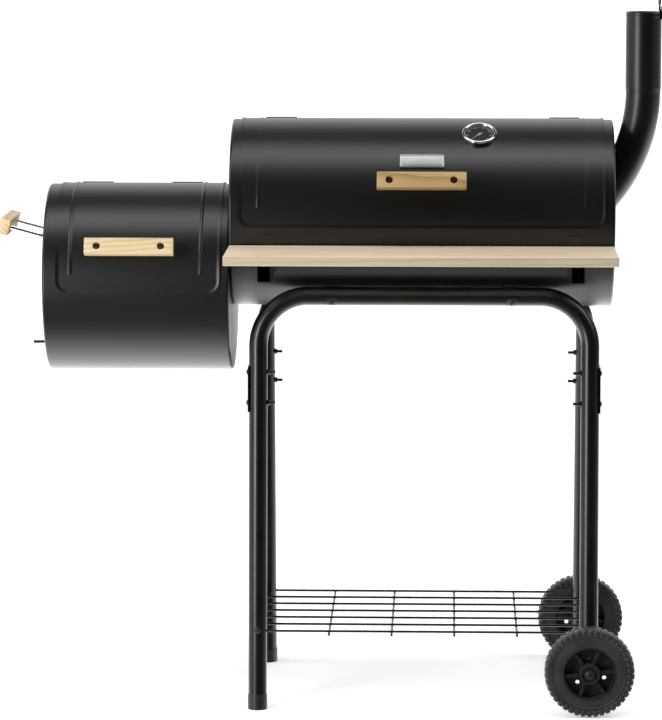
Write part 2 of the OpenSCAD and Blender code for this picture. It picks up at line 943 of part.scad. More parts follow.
// Calls its children at each of the eight side plate bolts, +x pointing outwards
module plate_bolt_places() {
    for (x = [left_leg, right_leg], side = [-1, 1], z = plate_bolt_z)
        translate([x, barrel_y + side * leg_y(z), z])
            scale([x < frame_x ? -1 : 1, 1, 1]) children();
}

// Brace between the front and the rear leg of one side, on their outer face
module side_plate(x) {
    overhang = 9;
    low = leg_y(plate_low) + overhang;
    high = leg_y(plate_high) + overhang;
    color("#202020") difference() {
        translate([x - plate_t / 2, barrel_y, 0]) rotate([90, 0, 90]) linear_extrude(plate_t)
            polygon([[-low, plate_low], [low, plate_low], [high, plate_high], [-high, plate_high]]);
        plate_bolt_places() rod_x(-60, 60, screw_r);
    }
}

module left_side_plate() {
    side_plate(left_leg - tube_r - plate_t / 2);
}

module right_side_plate() {
    side_plate(right_leg + tube_r + plate_t / 2);
}

module side_plate_bolts() {
    color("#303030") plate_bolt_places() {
        rod_x(-tube_r - nut_h - 9, tube_r + plate_t + 1, screw_r);
        translate([tube_r + plate_t, 0, 0]) rotate([0, 90, 0]) dome_head(5.5, 3);
        translate([-tube_r, 0, 0]) rotate([0, -90, 0]) hex_nut(nut_r, nut_h, screw_r - eps);
    }
}

module barrel_bolts() {
    color("#303030") in_barrel()
        for (x = [-barrel_bolt_x, barrel_bolt_x], a = [tube_angle, 180 - tube_angle])
            translate([x, 0, 0]) at_angle(a) {
                radial(shell_in - 8, tube_ring + tube_r + 1, m6_r);
                translate([0, -tube_ring - tube_r, 0]) rotate([90, 0, 0]) dome_head(6.5, 3.2);
                translate([0, -shell_in + 5.2, 0]) rotate([90, 0, 0]) hex_nut(5.8, 5, m6_r - eps);
            }
}

// Shaped pads between the barrel and the frame tubes
module tube_saddles() {
    color("#1c1c1c") in_barrel() difference() {
        for (x = [-barrel_bolt_x, barrel_bolt_x], a = [tube_angle, 180 - tube_angle])
            translate([x, 0, 0]) at_angle(a)
                translate([-13, -shell_r - 6, -9]) cube([26, 7, 18]);
        rod_x(-barrel_len, barrel_len, shell_r, $fn = 360);
        for (side = [-1, 1]) translate([0, side * run_y, run_z - barrel_z])
            rod_x(-barrel_len, barrel_len, tube_r, $fn = 180);
        barrel_bolt_holes(m6_r);
    }
}

// Plastic caps on the two left legs, cut level with the floor
module foot_caps() {
    foot = leg_run(0);
    color("#161616") for (side = [-1, 1]) difference() {
        intersection() {
            in_frame(side) difference() {
                translate([-leg_pitch / 2, 0, -foot - 10]) cylinder(r = foot_cap_r, h = foot_cap_h + 10);
                translate([-leg_pitch / 2, 0, -leg_run(foot_floor + 3)]) cylinder(r = tube_r, h = 60);
            }
            translate([left_leg - 50, barrel_y - 400, 0]) cube([100, 800, 100]);
        }
    }
}

// ---- Wheels ----

// Rod through the right legs with a collar inside each wheel
module wheel_axle() {
    color("silver") translate([right_leg, barrel_y, wheel_r]) {
        rod_y(-251, 251, axle_r);
        for (side = [-1, 1]) translate([0, side * 197.3, 0]) rod_y(-1.3, 1.3, 9);
    }
}

module axle_caps() {
    color("#161616") translate([right_leg, barrel_y, wheel_r])
        for (side = [-1, 1]) scale([1, side, 1]) difference() {
            union() {
                rod_y(249.5, 252, 7.5);
                translate([0, 252, 0]) rotate([-90, 0, 0]) dome_head(7.5, 2);
            }
            rod_y(240, 251, axle_r);
        }
}

// Wheel about the Y axis, outer side towards +y, centred on the tyre
module wheel_rim() {
    difference() {
        union() {
            rod_y(hub_in, hub_out, hub_r);
            rod_y(-2, 2, rim_r_out - 2);
            difference() {
                rod_y(-rim_w / 2, rim_w / 2, rim_r_out);
                rod_y(-rim_w, rim_w, rim_r_out - 3);
            }
            for (i = [0 : spokes - 1]) rotate([0, i * 360 / spokes + 15, 0])
                translate([hub_r - 3, -rim_w / 2 + 3, -2])
                    cube([rim_r_out - hub_r + 1, rim_w - 6, 4]);
        }
        rod_y(-60, 60, axle_r + axle_play);
        rod_y(hub_out - 4, hub_out + 1, 13);
        for (i = [0 : spokes - 1]) rotate([0, i * 360 / spokes + 45, 0])
            translate([24, 0, 0]) rod_y(-20, 20, 2.6);
    }
}

// Plain tyre body; its shoulders are rounded
module tyre() {
    shoulder = 7;
    rotate([90, 0, 0]) rotate_extrude($fn = 180) difference() {
        union() {
            translate([rim_r_out, -tyre_w / 2]) square([wheel_r - rim_r_out - shoulder, tyre_w]);
            translate([rim_r_out, -tyre_w / 2 + shoulder])
                square([wheel_r - rim_r_out, tyre_w - 2 * shoulder]);
            for (y = [-1, 1]) translate([wheel_r - shoulder, y * (tyre_w / 2 - shoulder)])
                circle(r = shoulder, $fn = 48);
        }
    }
}

module at_wheel(side) {
    translate([right_leg, barrel_y + side * wheel_track / 2, wheel_r]) scale([1, side, 1]) children();
}

module front_wheel_rim() {
    color("#1e1e1e") at_wheel(-1) wheel_rim();
}

module front_tyre() {
    color("#2a2a2a") at_wheel(-1) tyre();
}

module rear_wheel_rim() {
    color("#1e1e1e") at_wheel(1) wheel_rim();
}

module rear_tyre() {
    color("#2a2a2a") at_wheel(1) tyre();
}

// ---- Wire shelf ----

module shelf_bolt_places() {
    for (x = [left_leg, right_leg], side = [-1, 1])
        translate([x, barrel_y + side * leg_y(shelf_bolt_z), shelf_bolt_z]) children();
}

// Long wires over cross wires; the end rails carry a bolted tab at each leg
module wire_shelf() {
    wire_r = wire_d / 2;
    edge_y = leg_y(wire_z);
    tab_y = leg_y(shelf_bolt_z) - tube_r - 0.6;
    tab_t = 2;
    color("#181818") translate([frame_x, barrel_y, 0]) {
        for (i = [0 : long_wires - 1]) {
            y = -edge_y + i * 2 * edge_y / (long_wires - 1);
            outer = i == 0 || i == long_wires - 1;
            reach = leg_pitch / 2 - (outer ? tube_r + 0.3 : 0);
            translate([0, y, wire_z]) rod_x(-reach, reach, wire_r);
        }
        for (i = [0 : cross_wires - 1]) {
            x = (i - (cross_wires - 1) / 2) * 105;
            translate([x, 0, wire_z - wire_d + 0.6]) rod_y(-edge_y - 16, edge_y + 5, wire_r);
        }
        for (side = [-1, 1]) translate([side * leg_pitch / 2, 0, 0]) {
            translate([0, 0, wire_z - wire_d + 0.6]) rod_y(-tab_y + 0.5, tab_y - 0.5, wire_r + 0.4);
            for (end = [-1, 1]) scale([1, end, 1]) difference() {
                translate([-8, tab_y - tab_t, wire_z - 8]) cube([16, tab_t, 21]);
                translate([0, 0, shelf_bolt_z]) rod_y(0, 400, screw_r + screw_play);
            }
        }
    }
}

module wire_shelf_bolts() {
    tab_back = tube_r + 0.6 + 2;
    color("silver") for (side = [-1, 1])
        for (x = [left_leg, right_leg])
            translate([x, barrel_y + side * leg_y(shelf_bolt_z), shelf_bolt_z])
                scale([1, side, 1]) {
                    rod_y(-tab_back - nut_h - 3, tube_r + 1, screw_r);
                    translate([0, tube_r + 0.7, 0]) rotate([-90, 0, 0]) dome_head(6, 2.6);
                    translate([0, -tab_back, 0]) rotate([90, 0, 0])
                        hex_nut(nut_r, nut_h, screw_r - eps);
                }
}

// ---- Wooden shelf ----

module shelf_screw_places() {
    for (x = [-bracket_x, bracket_x], y = shelf_screw_y)
        translate([barrel_x + x, board_back - y, board_top]) children();
}

module front_shelf() {
    color("#e2c896") difference() {
        translate([barrel_x - board_len / 2, board_front, board_top - board_t])
            cube([board_len, board_depth, board_t]);
        shelf_screw_places() {
            translate([0, 0, -board_t - 1]) cylinder(r = screw_r, h = board_t + 2);
            translate([0, 0, -1.5]) cylinder(r = screw_head_r + 0.3, h = 3);
        }
    }
}

// Box-section arm under the board with a strap that hugs the barrel
module shelf_brackets() {
    top = board_top - board_t;
    strap_r = shell_r;
    color("#1a1a1a") for (x = [-bracket_x, bracket_x]) translate([barrel_x + x, 0, 0]) {
        difference() {
            translate([-bracket_w / 2, board_back - bracket_reach, top - bracket_h])
                cube([bracket_w, bracket_reach + 30, bracket_h]);
            translate([-bracket_w / 2 + bracket_wall, board_back - bracket_reach - 1,
                top - bracket_h + bracket_wall])
                cube([bracket_w - 2 * bracket_wall, bracket_reach + 60, bracket_h - 2 * bracket_wall]);
            translate([0, barrel_y, barrel_z]) rod_x(-60, 60, strap_r + 1);
            translate([-x, 0, 0]) translate([-barrel_x, 0, 0]) shelf_screw_places()
                translate([0, 0, -board_t - 10]) cylinder(r = screw_r, h = 20);
        }
        translate([0, barrel_y, barrel_z]) difference() {
            arc_sheet(strap_r, 1.6, bracket_w, -36, -8.5);
            at_angle(-33) radial(strap_r - 5, strap_r + 5, screw_r);
        }
    }
}

// Screws down through the board, and the bolts that hold each strap to the barrel
module shelf_screws() {
    color("silver") shelf_screw_places() {
        translate([0, 0, -board_t - 8]) cylinder(r = screw_r, h = board_t + 7);
        translate([0, 0, -1.5]) cylinder(r = screw_head_r, h = 1.3);
        translate([0, 0, -board_t - bracket_wall - nut_h]) hex_nut(nut_r, nut_h, screw_r - eps);
    }
}

main_barrel();
main_left_cap();
main_right_cap();
main_lid();
barrel_hinge_leaves();
main_lid_hinge_leaves();
main_hinge_pins();
main_handle();
main_handle_spacers();
main_handle_screws();
thermometer_case();
thermometer_dial();
thermometer_needle();
thermometer_glass();
name_plate();
cooking_grate_left();
cooking_grate_right();
charcoal_grate();
grate_rests();
chimney_pipe();
chimney_screws();
chimney_flap();
flap_bracket();
flap_pin();
firebox_shell();
firebox_left_cap();
firebox_right_cap();
firebox_lid();
firebox_hinge_leaves();
firebox_lid_hinge_leaves();
firebox_hinge_pins();
firebox_handle();
firebox_handle_spacers();
firebox_handle_screws();
side_grip();
side_grip_rods();
air_shutter();
shutter_rivet();
fire_grate();
fire_grate_rests();
joining_bolts();
front_frame();
rear_frame();
left_side_plate();
right_side_plate();
side_plate_bolts();
barrel_bolts();
tube_saddles();
foot_caps();
wheel_axle();
axle_caps();
front_wheel_rim();
front_tyre();
rear_wheel_rim();
rear_tyre();
wire_shelf();
wire_shelf_bolts();
front_shelf();
shelf_brackets();
shelf_screws();
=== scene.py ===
import json
import math
import bpy
import bmesh
from mathutils import Matrix, Vector


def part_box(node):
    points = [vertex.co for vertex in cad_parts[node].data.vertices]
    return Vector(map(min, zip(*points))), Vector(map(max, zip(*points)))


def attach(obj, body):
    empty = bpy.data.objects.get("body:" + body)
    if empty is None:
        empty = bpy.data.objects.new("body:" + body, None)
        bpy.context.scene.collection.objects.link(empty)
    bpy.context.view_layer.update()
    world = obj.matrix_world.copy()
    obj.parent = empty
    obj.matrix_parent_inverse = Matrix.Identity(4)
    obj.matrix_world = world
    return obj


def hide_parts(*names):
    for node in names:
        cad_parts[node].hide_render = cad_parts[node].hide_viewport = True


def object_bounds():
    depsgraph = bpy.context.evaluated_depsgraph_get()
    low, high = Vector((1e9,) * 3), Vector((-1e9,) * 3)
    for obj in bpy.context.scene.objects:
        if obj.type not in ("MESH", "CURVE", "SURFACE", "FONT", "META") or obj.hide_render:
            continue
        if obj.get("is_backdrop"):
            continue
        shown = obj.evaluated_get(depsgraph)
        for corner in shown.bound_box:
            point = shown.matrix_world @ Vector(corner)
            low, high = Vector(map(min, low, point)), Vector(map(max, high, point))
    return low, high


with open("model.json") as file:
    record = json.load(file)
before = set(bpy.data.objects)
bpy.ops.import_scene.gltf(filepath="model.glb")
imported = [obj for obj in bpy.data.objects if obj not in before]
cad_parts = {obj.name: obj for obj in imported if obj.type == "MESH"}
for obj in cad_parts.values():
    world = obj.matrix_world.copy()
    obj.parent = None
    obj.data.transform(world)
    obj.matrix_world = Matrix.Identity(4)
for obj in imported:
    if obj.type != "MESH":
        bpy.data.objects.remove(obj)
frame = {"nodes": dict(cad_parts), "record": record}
nodes = frame["nodes"]
scene = bpy.context.scene
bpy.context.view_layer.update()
flat = Matrix.Identity(4)
shifted = Matrix.Translation


def turnedBy(degrees, axis):
    return Matrix.Rotation(math.radians(degrees), 4, axis)


def middle(node):
    low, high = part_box(node)
    return (low + high) / 2


barrelAxis = middle("main_barrel")
fireAxis = middle("firebox_shell")
shellRadius = (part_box("main_barrel")[1].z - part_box("main_barrel")[0].z) / 2
print("frame loaded,", len(nodes), "parts")


# small helpers for node trees

def feed(tree, node, inputs):
    # an input given as a socket is linked, any other value is set
    for key, value in inputs.items():
        if isinstance(value, bpy.types.NodeSocket):
            tree.links.new(value, node.inputs[key])
        else:
            node.inputs[key].default_value = value


def addNode(tree, kind, inputs={}, **settings):
    node = tree.nodes.new(kind)
    for key, value in settings.items():
        setattr(node, key, value)
    feed(tree, node, inputs)
    return node


def newTree(name, kind, inputs, outputs):
    tree = bpy.data.node_groups.new(name, kind)
    for label, socketType, value in inputs:
        socket = tree.interface.new_socket(label, in_out="INPUT", socket_type="NodeSocket" + socketType)
        if value is not None:
            socket.default_value = value
    for label, socketType in outputs:
        tree.interface.new_socket(label, in_out="OUTPUT", socket_type="NodeSocket" + socketType)
    return tree, tree.nodes.new("NodeGroupInput").outputs, tree.nodes.new("NodeGroupOutput")


def mapRange(tree, value, fromLow, fromHigh, toLow=0.0, toHigh=1.0):
    return addNode(tree, "ShaderNodeMapRange", {0: value, 1: fromLow, 2: fromHigh, 3: toLow, 4: toHigh},
                   interpolation_type="SMOOTHSTEP").outputs[0]


def maths(tree, operation, a, b=0.0):
    return addNode(tree, "ShaderNodeMath", {0: a, 1: b}, operation=operation).outputs[0]


def times(tree, a, b):
    return maths(tree, "MULTIPLY", a, b)


def mixColour(tree, factor, a, b):
    return addNode(tree, "ShaderNodeMix", {0: factor, 6: a, 7: b}, data_type="RGBA").outputs[2]


def noise(tree, vector, detail, roughness=0.5, scale=1.0):
    return addNode(tree, "ShaderNodeTexNoise", {"Vector": vector, "Detail": detail, "Roughness": roughness,
                                                "Scale": scale}).outputs[0]


def mapping(tree, vector, **inputs):
    return addNode(tree, "ShaderNodeMapping", {"Vector": vector, **inputs}).outputs[0]


def objectSpace(tree):
    return addNode(tree, "ShaderNodeTexCoord").outputs["Object"]


def normalZ(tree):
    facing = addNode(tree, "ShaderNodeNewGeometry")
    return addNode(tree, "ShaderNodeSeparateXYZ", {0: facing.outputs["Normal"]}).outputs["Z"]


# shared shader groups

def makeGrainGroup():
    # fine surface texture, slow tone changes and dust that lies on upward faces
    tree, start, end = newTree("surfaceGrain", "ShaderNodeTree",
                               [("Scale", "Float", 900.0), ("Stretch", "Vector", (1, 1, 1)),
                                ("Patch Scale", "Float", 9.0)],
                               [(label, "Float") for label in ("Height", "Tone", "Dust", "Scuff")])
    where = objectSpace(tree)
    stretched = mapping(tree, where, Scale=start["Stretch"])
    fine = noise(tree, stretched, 3.0, 0.55, start["Scale"])
    slow = noise(tree, where, 4.0, 0.6, start["Patch Scale"])
    specks = noise(tree, where, 5.0, 0.7, 130.0)
    upward = mapRange(tree, normalZ(tree), 0.45, 1.0)
    dust = times(tree, upward, mapRange(tree, specks, 0.35, 0.75))
    scuff = mapRange(tree, specks, 0.56, 0.66)
    feed(tree, end, {"Height": fine, "Tone": slow, "Dust": dust, "Scuff": scuff})
    return tree


def makeWoodGroup():
    # flat-sawn pine: growth rings about a line outside the board, fine fibres and pores
    tree, start, end = newTree("pineFigure", "ShaderNodeTree",
                               [("Vector", "Vector", (0, 0, 0)), ("Ring Scale", "Float", 50.0),
                                ("Warp", "Float", 3.0), ("Contrast", "Float", 1.0)],
                               [(label, "Float") for label in ("Ring", "Fibre", "Tone")])
    rings = addNode(tree, "ShaderNodeTexWave",
                    {"Detail": 3.0, "Detail Scale": 0.6, "Detail Roughness": 0.45, "Vector": start["Vector"],
                     "Scale": start["Ring Scale"], "Distortion": start["Warp"]},
                    wave_type="RINGS", rings_direction="X", wave_profile="SAW").outputs["Fac"]
    late = mapRange(tree, rings, 0.45, 0.98)
    fall = mapRange(tree, rings, 0.98, 1.0, 1.0, 0.0)
    ring = times(tree, times(tree, late, fall), start["Contrast"])
    fibre = noise(tree, mapping(tree, start["Vector"], Scale=(14.0, 520.0, 520.0)), 4.0, 0.65)
    tone = noise(tree, mapping(tree, start["Vector"], Scale=(3.0, 26.0, 26.0)), 2.0)
    feed(tree, end, {"Ring": ring, "Fibre": fibre, "Tone": tone})
    return tree


grainGroup = makeGrainGroup()
woodGroup = makeWoodGroup()


# materials

def startMaterial(name):
    material = bpy.data.materials.new(name)
    material.use_nodes = True
    tree = material.node_tree
    return material, tree, tree.nodes["Principled BSDF"]


def addBump(tree, shader, height, strength, distance):
    bump = addNode(tree, "ShaderNodeBump", {"Strength": strength, "Distance": distance, "Height": height})
    feed(tree, shader, {"Normal": bump.outputs[0]})


dustColour = (0.34, 0.33, 0.31, 1)
# painted shade: the dark brown mixed into the upright faces of wooden pieces
paintedSideShade = (0.03, 0.02, 0.012, 1)


def grainyMaterial(name, finish):
    material, tree, shader = startMaterial(name)
    grain = addNode(tree, "ShaderNodeGroup",
                    {"Scale": finish["grain"], "Stretch": finish.get("stretch", (1, 1, 1)),
                     "Patch Scale": finish["patch"]}, node_tree=grainGroup).outputs
    wear = mapRange(tree, grain["Tone"], 0.35, 0.7, 0.0, finish.get("variation", 0.5))
    tinted = mixColour(tree, wear, (*finish["colour"], 1), (*finish["worn"], 1))
    dust = times(tree, grain["Dust"], finish.get("dust", 0.0))
    offset = maths(tree, "SUBTRACT", grain["Tone"], 0.5)
    uneven = times(tree, offset, finish.get("roughSpread", 0.1))
    scuff = times(tree, grain["Scuff"], finish.get("scuff", 0.03))
    rough = maths(tree, "ADD", maths(tree, "ADD", finish["roughness"], uneven), scuff)
    feed(tree, shader, {"Base Color": mixColour(tree, dust, tinted, dustColour), "Roughness": rough,
                        "Metallic": finish.get("metallic", 0.0)})
    addBump(tree, shader, grain["Height"], finish["bump"], 0.0004)
    return material


def pineMaterial(name, wood):
    material, tree, shader = startMaterial(name)
    centred = mapping(tree, objectSpace(tree), Location=wood["shift"], Rotation=wood["turn"])
    figure = addNode(tree, "ShaderNodeGroup",
                     {"Vector": centred, "Ring Scale": wood["rings"], "Warp": wood["warp"],
                      "Contrast": wood["contrast"]}, node_tree=woodGroup).outputs
    warmth = mapRange(tree, figure["Tone"], 0.3, 0.7)
    ground = mixColour(tree, warmth, (*wood["pale"], 1), (*wood["warm"], 1))
    ringed = mixColour(tree, figure["Ring"], ground, (*wood["late"], 1))
    strands = mapRange(tree, figure["Fibre"], 0.52, 0.8, 0.0, 0.35)
    fibred = mixColour(tree, strands, ringed, (*wood["fibre"], 1))
    # painted shade: faces that stand upright are mixed towards a dark brown, so they read darker than the flat
    # top and bottom faces
    upright = maths(tree, "ABSOLUTE", normalZ(tree))
    edge = mapRange(tree, upright, 0.85, 0.3, 0.0, 1 - wood.get("edgeTone", 1.0))
    feed(tree, shader, {"Base Color": mixColour(tree, edge, fibred, paintedSideShade),
                        "Roughness": mapRange(tree, figure["Fibre"], 0.2, 0.8, 0.42, 0.58)})
    height = maths(tree, "ADD", times(tree, figure["Ring"], 0.5), figure["Fibre"])
    addBump(tree, shader, height, 0.12, 0.0005)
    return material


def glassMaterial():
    material, tree, shader = startMaterial("gaugeGlass")
    grain = addNode(tree, "ShaderNodeGroup", {"Scale": 300.0}, node_tree=grainGroup).outputs
    feed(tree, shader, {"Base Color": (0.03, 0.03, 0.03, 1), "Alpha": 0.14,
                        "Roughness": mapRange(tree, grain["Tone"], 0.3, 0.7, 0.02, 0.08)})
    return material


finishes = {
    "blackPaint": {"colour": (0.0028, 0.0028, 0.0030), "worn": (0.0048, 0.0048, 0.0050), "roughness": 0.35,
                   "roughSpread": 0.06, "grain": 850, "bump": 0.10, "dust": 0.012, "patch": 5},
    "framePaint": {"colour": (0.0032, 0.0032, 0.0034), "worn": (0.006, 0.006, 0.006), "roughness": 0.30,
                   "roughSpread": 0.12, "grain": 700, "bump": 0.09, "dust": 0.012, "patch": 11},
    "blackSteel": {"colour": (0.014, 0.014, 0.015), "worn": (0.05, 0.048, 0.046), "roughness": 0.36,
                   "grain": 1400, "bump": 0.12, "metallic": 0.35, "variation": 0.6, "patch": 60},
    "zinc": {"colour": (0.48, 0.48, 0.49), "worn": (0.66, 0.65, 0.62), "roughness": 0.32, "metallic": 1.0,
             "grain": 900, "stretch": (1, 1, 0.15), "bump": 0.10, "patch": 40},
    "chrome": {"colour": (0.80, 0.80, 0.81), "worn": (0.88, 0.88, 0.88), "roughness": 0.12, "metallic": 1.0,
               "grain": 500, "bump": 0.03, "patch": 30, "roughSpread": 0.06, "scuff": 0.05},
    "silverPlate": {"colour": (0.24, 0.24, 0.245), "worn": (0.32, 0.32, 0.32), "roughness": 0.30,
                    "metallic": 1.0, "grain": 1500, "stretch": (0.04, 1, 1), "bump": 0.14, "patch": 30},
    "grateSteel": {"colour": (0.36, 0.35, 0.34), "worn": (0.52, 0.51, 0.50), "roughness": 0.30,
                   "metallic": 1.0, "grain": 900, "bump": 0.12, "patch": 25, "dust": 0.08},
    "coalGrate": {"colour": (0.022, 0.021, 0.020), "worn": (0.06, 0.055, 0.05), "roughness": 0.62,
                  "grain": 1100, "bump": 0.4, "metallic": 0.2, "dust": 0.25, "patch": 30},
    "tyre": {"colour": (0.019, 0.019, 0.0195), "worn": (0.036, 0.036, 0.035), "roughness": 0.48,
             "grain": 1300, "bump": 0.22, "dust": 0.10, "patch": 30},
    "wheelPlastic": {"colour": (0.012, 0.012, 0.0125), "worn": (0.022, 0.022, 0.022), "roughness": 0.31,
                     "grain": 1600, "bump": 0.12, "dust": 0.04, "patch": 40},
    "blackPlastic": {"colour": (0.010, 0.010, 0.010), "worn": (0.02, 0.02, 0.02), "roughness": 0.42,
                     "grain": 1500, "bump": 0.15, "patch": 50},
    "soot": {"colour": (0.006, 0.006, 0.006), "worn": (0.013, 0.012, 0.011), "roughness": 0.78,
             "grain": 900, "bump": 0.25, "patch": 40},
    "dialFace": {"colour": (0.020, 0.020, 0.021), "worn": (0.035, 0.035, 0.035), "roughness": 0.42,
                 "grain": 2000, "bump": 0.05, "patch": 60},
    "dialPrint": {"colour": (0.62, 0.62, 0.60), "worn": (0.70, 0.70, 0.68), "roughness": 0.5,
                  "grain": 2000, "bump": 0.05, "patch": 60},
    "needleWhite": {"colour": (0.66, 0.65, 0.62), "worn": (0.74, 0.73, 0.70), "roughness": 0.4,
                    "grain": 2000, "bump": 0.05, "patch": 60},
}
woods = {
    # the board's upright faces are mixed half way towards the painted shade colour
    "pineBoard": {"shift": (-0.10, 0.28, -0.70), "turn": (0.0, 0.012, 0.035), "rings": 34.0, "warp": 1.6,
                  "contrast": 0.42, "pale": (0.84, 0.71, 0.53), "warm": (0.76, 0.61, 0.43), "edgeTone": 0.50,
                  "late": (0.56, 0.41, 0.26), "fibre": (0.56, 0.44, 0.31)},
    "pineHandle": {"shift": (-0.12, 0.28, -0.90), "turn": (0.0, 0.02, 0.03), "rings": 40.0, "warp": 1.4,
                   "contrast": 0.75, "pale": (0.44, 0.31, 0.14), "warm": (0.37, 0.25, 0.105),
                   "late": (0.24, 0.135, 0.05), "fibre": (0.28, 0.18, 0.085)},
    "pineFire": {"shift": (0.325, 0.160, -0.792), "turn": (0.0, 0.10, 0.0), "rings": 38.0, "warp": 2.6,
                 "contrast": 0.62, "pale": (0.59, 0.48, 0.30), "warm": (0.53, 0.41, 0.235),
                 "late": (0.42, 0.27, 0.11), "fibre": (0.48, 0.35, 0.19)},
    "pineGrip": {"shift": (0.04, 0.56, -0.78), "turn": (0.0, 0.04, 1.5708), "rings": 44.0, "warp": 2.0,
                 "contrast": 0.55, "pale": (0.70, 0.52, 0.31), "warm": (0.62, 0.43, 0.24),
                 "late": (0.42, 0.25, 0.11), "fibre": (0.50, 0.34, 0.18)},
}
looks = {name: grainyMaterial(name, finish) for name, finish in finishes.items()}
looks.update({name: pineMaterial(name, wood) for name, wood in woods.items()})
looks["gaugeGlass"] = glassMaterial()
slotLooks = {"pine": "pineBoard", "dial": "dialFace", "needle": "needleWhite", "glass": "gaugeGlass"}


def lookOf(slot):
    # most finishes carry their slot's name
    first, *rest = slot.split("_")
    return looks[slotLooks.get(slot, first + "".join(word.title() for word in rest))]


for part in frame["record"]["subparts"]:
    mesh = nodes[part["node"]].data
    mesh.materials.clear()
    sooty = part["node"] == "chimney_flap"
    mesh.materials.append(looks["soot"] if sooty else lookOf(part["material_slot"]))
print("materials made")


# small helpers for meshes

def meshOf(points, faces, sharp=40.0):
    # merges doubles, points the faces outwards and marks the hard edges
    mesh = bpy.data.meshes.new("mesh")
    mesh.from_pydata([tuple(p) for p in points], [], faces)
    tidy = bmesh.new()
    tidy.from_mesh(mesh)
    bmesh.ops.remove_doubles(tidy, verts=tidy.verts, dist=1e-6)
    bmesh.ops.dissolve_degenerate(tidy, dist=1e-6, edges=tidy.edges)
    bmesh.ops.recalc_face_normals(tidy, faces=tidy.faces)
    tidy.to_mesh(mesh)
    tidy.free()
    smoothMesh(mesh, sharp)
    return mesh


def smoothMesh(mesh, sharp=40.0):
    mesh.polygons.foreach_set("use_smooth", [True] * len(mesh.polygons))
    mesh.set_sharp_from_angle(angle=math.radians(sharp))


def place(name, data):
    piece = bpy.data.objects.new(name, data)
    scene.collection.objects.link(piece)
    return piece


def settle(name, mesh, body, slot, *replaced, look=None):
    # adds a finished piece to its body
    piece = place(name, mesh)
    mesh.name = name
    mesh.materials.clear()
    mesh.materials.append(looks[look] if look else lookOf(slot))
    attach(piece, body)
    if replaced:
        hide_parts(*replaced)


def bake(piece, sharp=40.0):
    # applies a helper object's modifiers, removes the object and returns the mesh
    graph = bpy.context.evaluated_depsgraph_get()
    graph.update()
    mesh = bpy.data.meshes.new_from_object(piece.evaluated_get(graph))
    bpy.data.objects.remove(piece)
    smoothMesh(mesh, sharp)
    return mesh


def bevelled(mesh, width, segments=3):
    piece = place("blank", mesh)
    bevel = piece.modifiers.new("bevel", "BEVEL")
    bevel.width, bevel.segments = width, segments
    bevel.limit_method, bevel.angle_limit = "ANGLE", math.radians(30)
    return bake(piece)


def thickened(mesh, thickness, sharp=40.0):
    # gives an open sheet its thickness inwards
    piece = place("sheet", mesh)
    wall = piece.modifiers.new("wall", "SOLIDIFY")
    wall.thickness, wall.offset = thickness, -1.0
    return bake(piece, sharp)


def cutWith(mesh, cutters, sharp=40.0):
    for tool in cutters:
        piece, cutter = place("blank", mesh), place("cutter", tool)
        cut = piece.modifiers.new("cut", "BOOLEAN")
        cut.operation, cut.solver, cut.object = "DIFFERENCE", "EXACT", cutter
        mesh = bake(piece, sharp)
        bpy.data.objects.remove(cutter)
    return mesh


def gridFaces(rows, columns, closedRows=False, closedColumns=False):
    faces = []
    for i in range(rows if closedRows else rows - 1):
        j = (i + 1) % rows
        for k in range(columns if closedColumns else columns - 1):
            m = (k + 1) % columns
            faces.append((i * columns + k, i * columns + m, j * columns + m, j * columns + k))
    return faces


def prismMesh(lower, upper):
    # joins two outlines that have the same number of points
    count = len(lower)
    faces = [tuple(range(count)), tuple(range(count, 2 * count))[::-1]]
    faces += [(i, (i + 1) % count, count + (i + 1) % count, count + i) for i in range(count)]
    return meshOf([*lower, *upper], faces)


def boxMesh(size, matrix=flat, centre=(0, 0, 0)):
    half = [s / 2 for s in size]
    corners = [(sx * half[0] + centre[0], sy * half[1] + centre[1], sz * half[2] + centre[2])
               for sx in (-1, 1) for sy in (-1, 1) for sz in (-1, 1)]
    faces = [(0, 1, 3, 2), (4, 6, 7, 5), (0, 4, 5, 1), (2, 3, 7, 6), (0, 2, 6, 4), (1, 5, 7, 3)]
    return meshOf([matrix @ Vector(c) for c in corners], faces)


def joinMeshes(meshes, sharp=40.0):
    whole = bmesh.new()
    for mesh in meshes:
        whole.from_mesh(mesh)
    joined = bpy.data.meshes.new("mesh")
    whole.to_mesh(joined)
    whole.free()
    smoothMesh(joined, sharp)
    return joined


def turnedMesh(profile, matrix, steps=96, closed=False, sharp=40.0):
    # profile holds (radius, height) pairs, turned about the local Z axis
    points = []
    for i in range(steps):
        angle = 2 * math.pi * i / steps
        for radius, height in profile:
            points.append(matrix @ Vector((radius * math.cos(angle), radius * math.sin(angle), height)))
    return meshOf(points, gridFaces(steps, len(profile), True, closed), sharp)


def sweptMesh(path, radius, sides=32, caps=True, sharp=40.0):
    # tube along a path; radius is a number or one number for each point
    radii = radius if isinstance(radius, list) else [radius] * len(path)
    points, side = [], None
    for i, spot in enumerate(path):
        ahead = (path[min(i + 1, len(path) - 1)] - path[max(i - 1, 0)]).normalized()
        side = side or ahead.orthogonal().normalized()
        side = (side - ahead * side.dot(ahead)).normalized()
        up = ahead.cross(side)
        for k in range(sides):
            angle = 2 * math.pi * k / sides
            points.append(spot + (side * math.cos(angle) + up * math.sin(angle)) * radii[i])
    faces = gridFaces(len(path), sides, closedColumns=True)
    if caps:
        faces.append(tuple(range(sides))[::-1])
        faces.append(tuple((len(path) - 1) * sides + k for k in range(sides)))
    return meshOf(points, faces, sharp)


def arcPoints(centre, start, turnAxis, degrees, steps):
    return [centre + Matrix.Rotation(math.radians(degrees * i / steps), 3, turnAxis) @ start
            for i in range(steps + 1)]


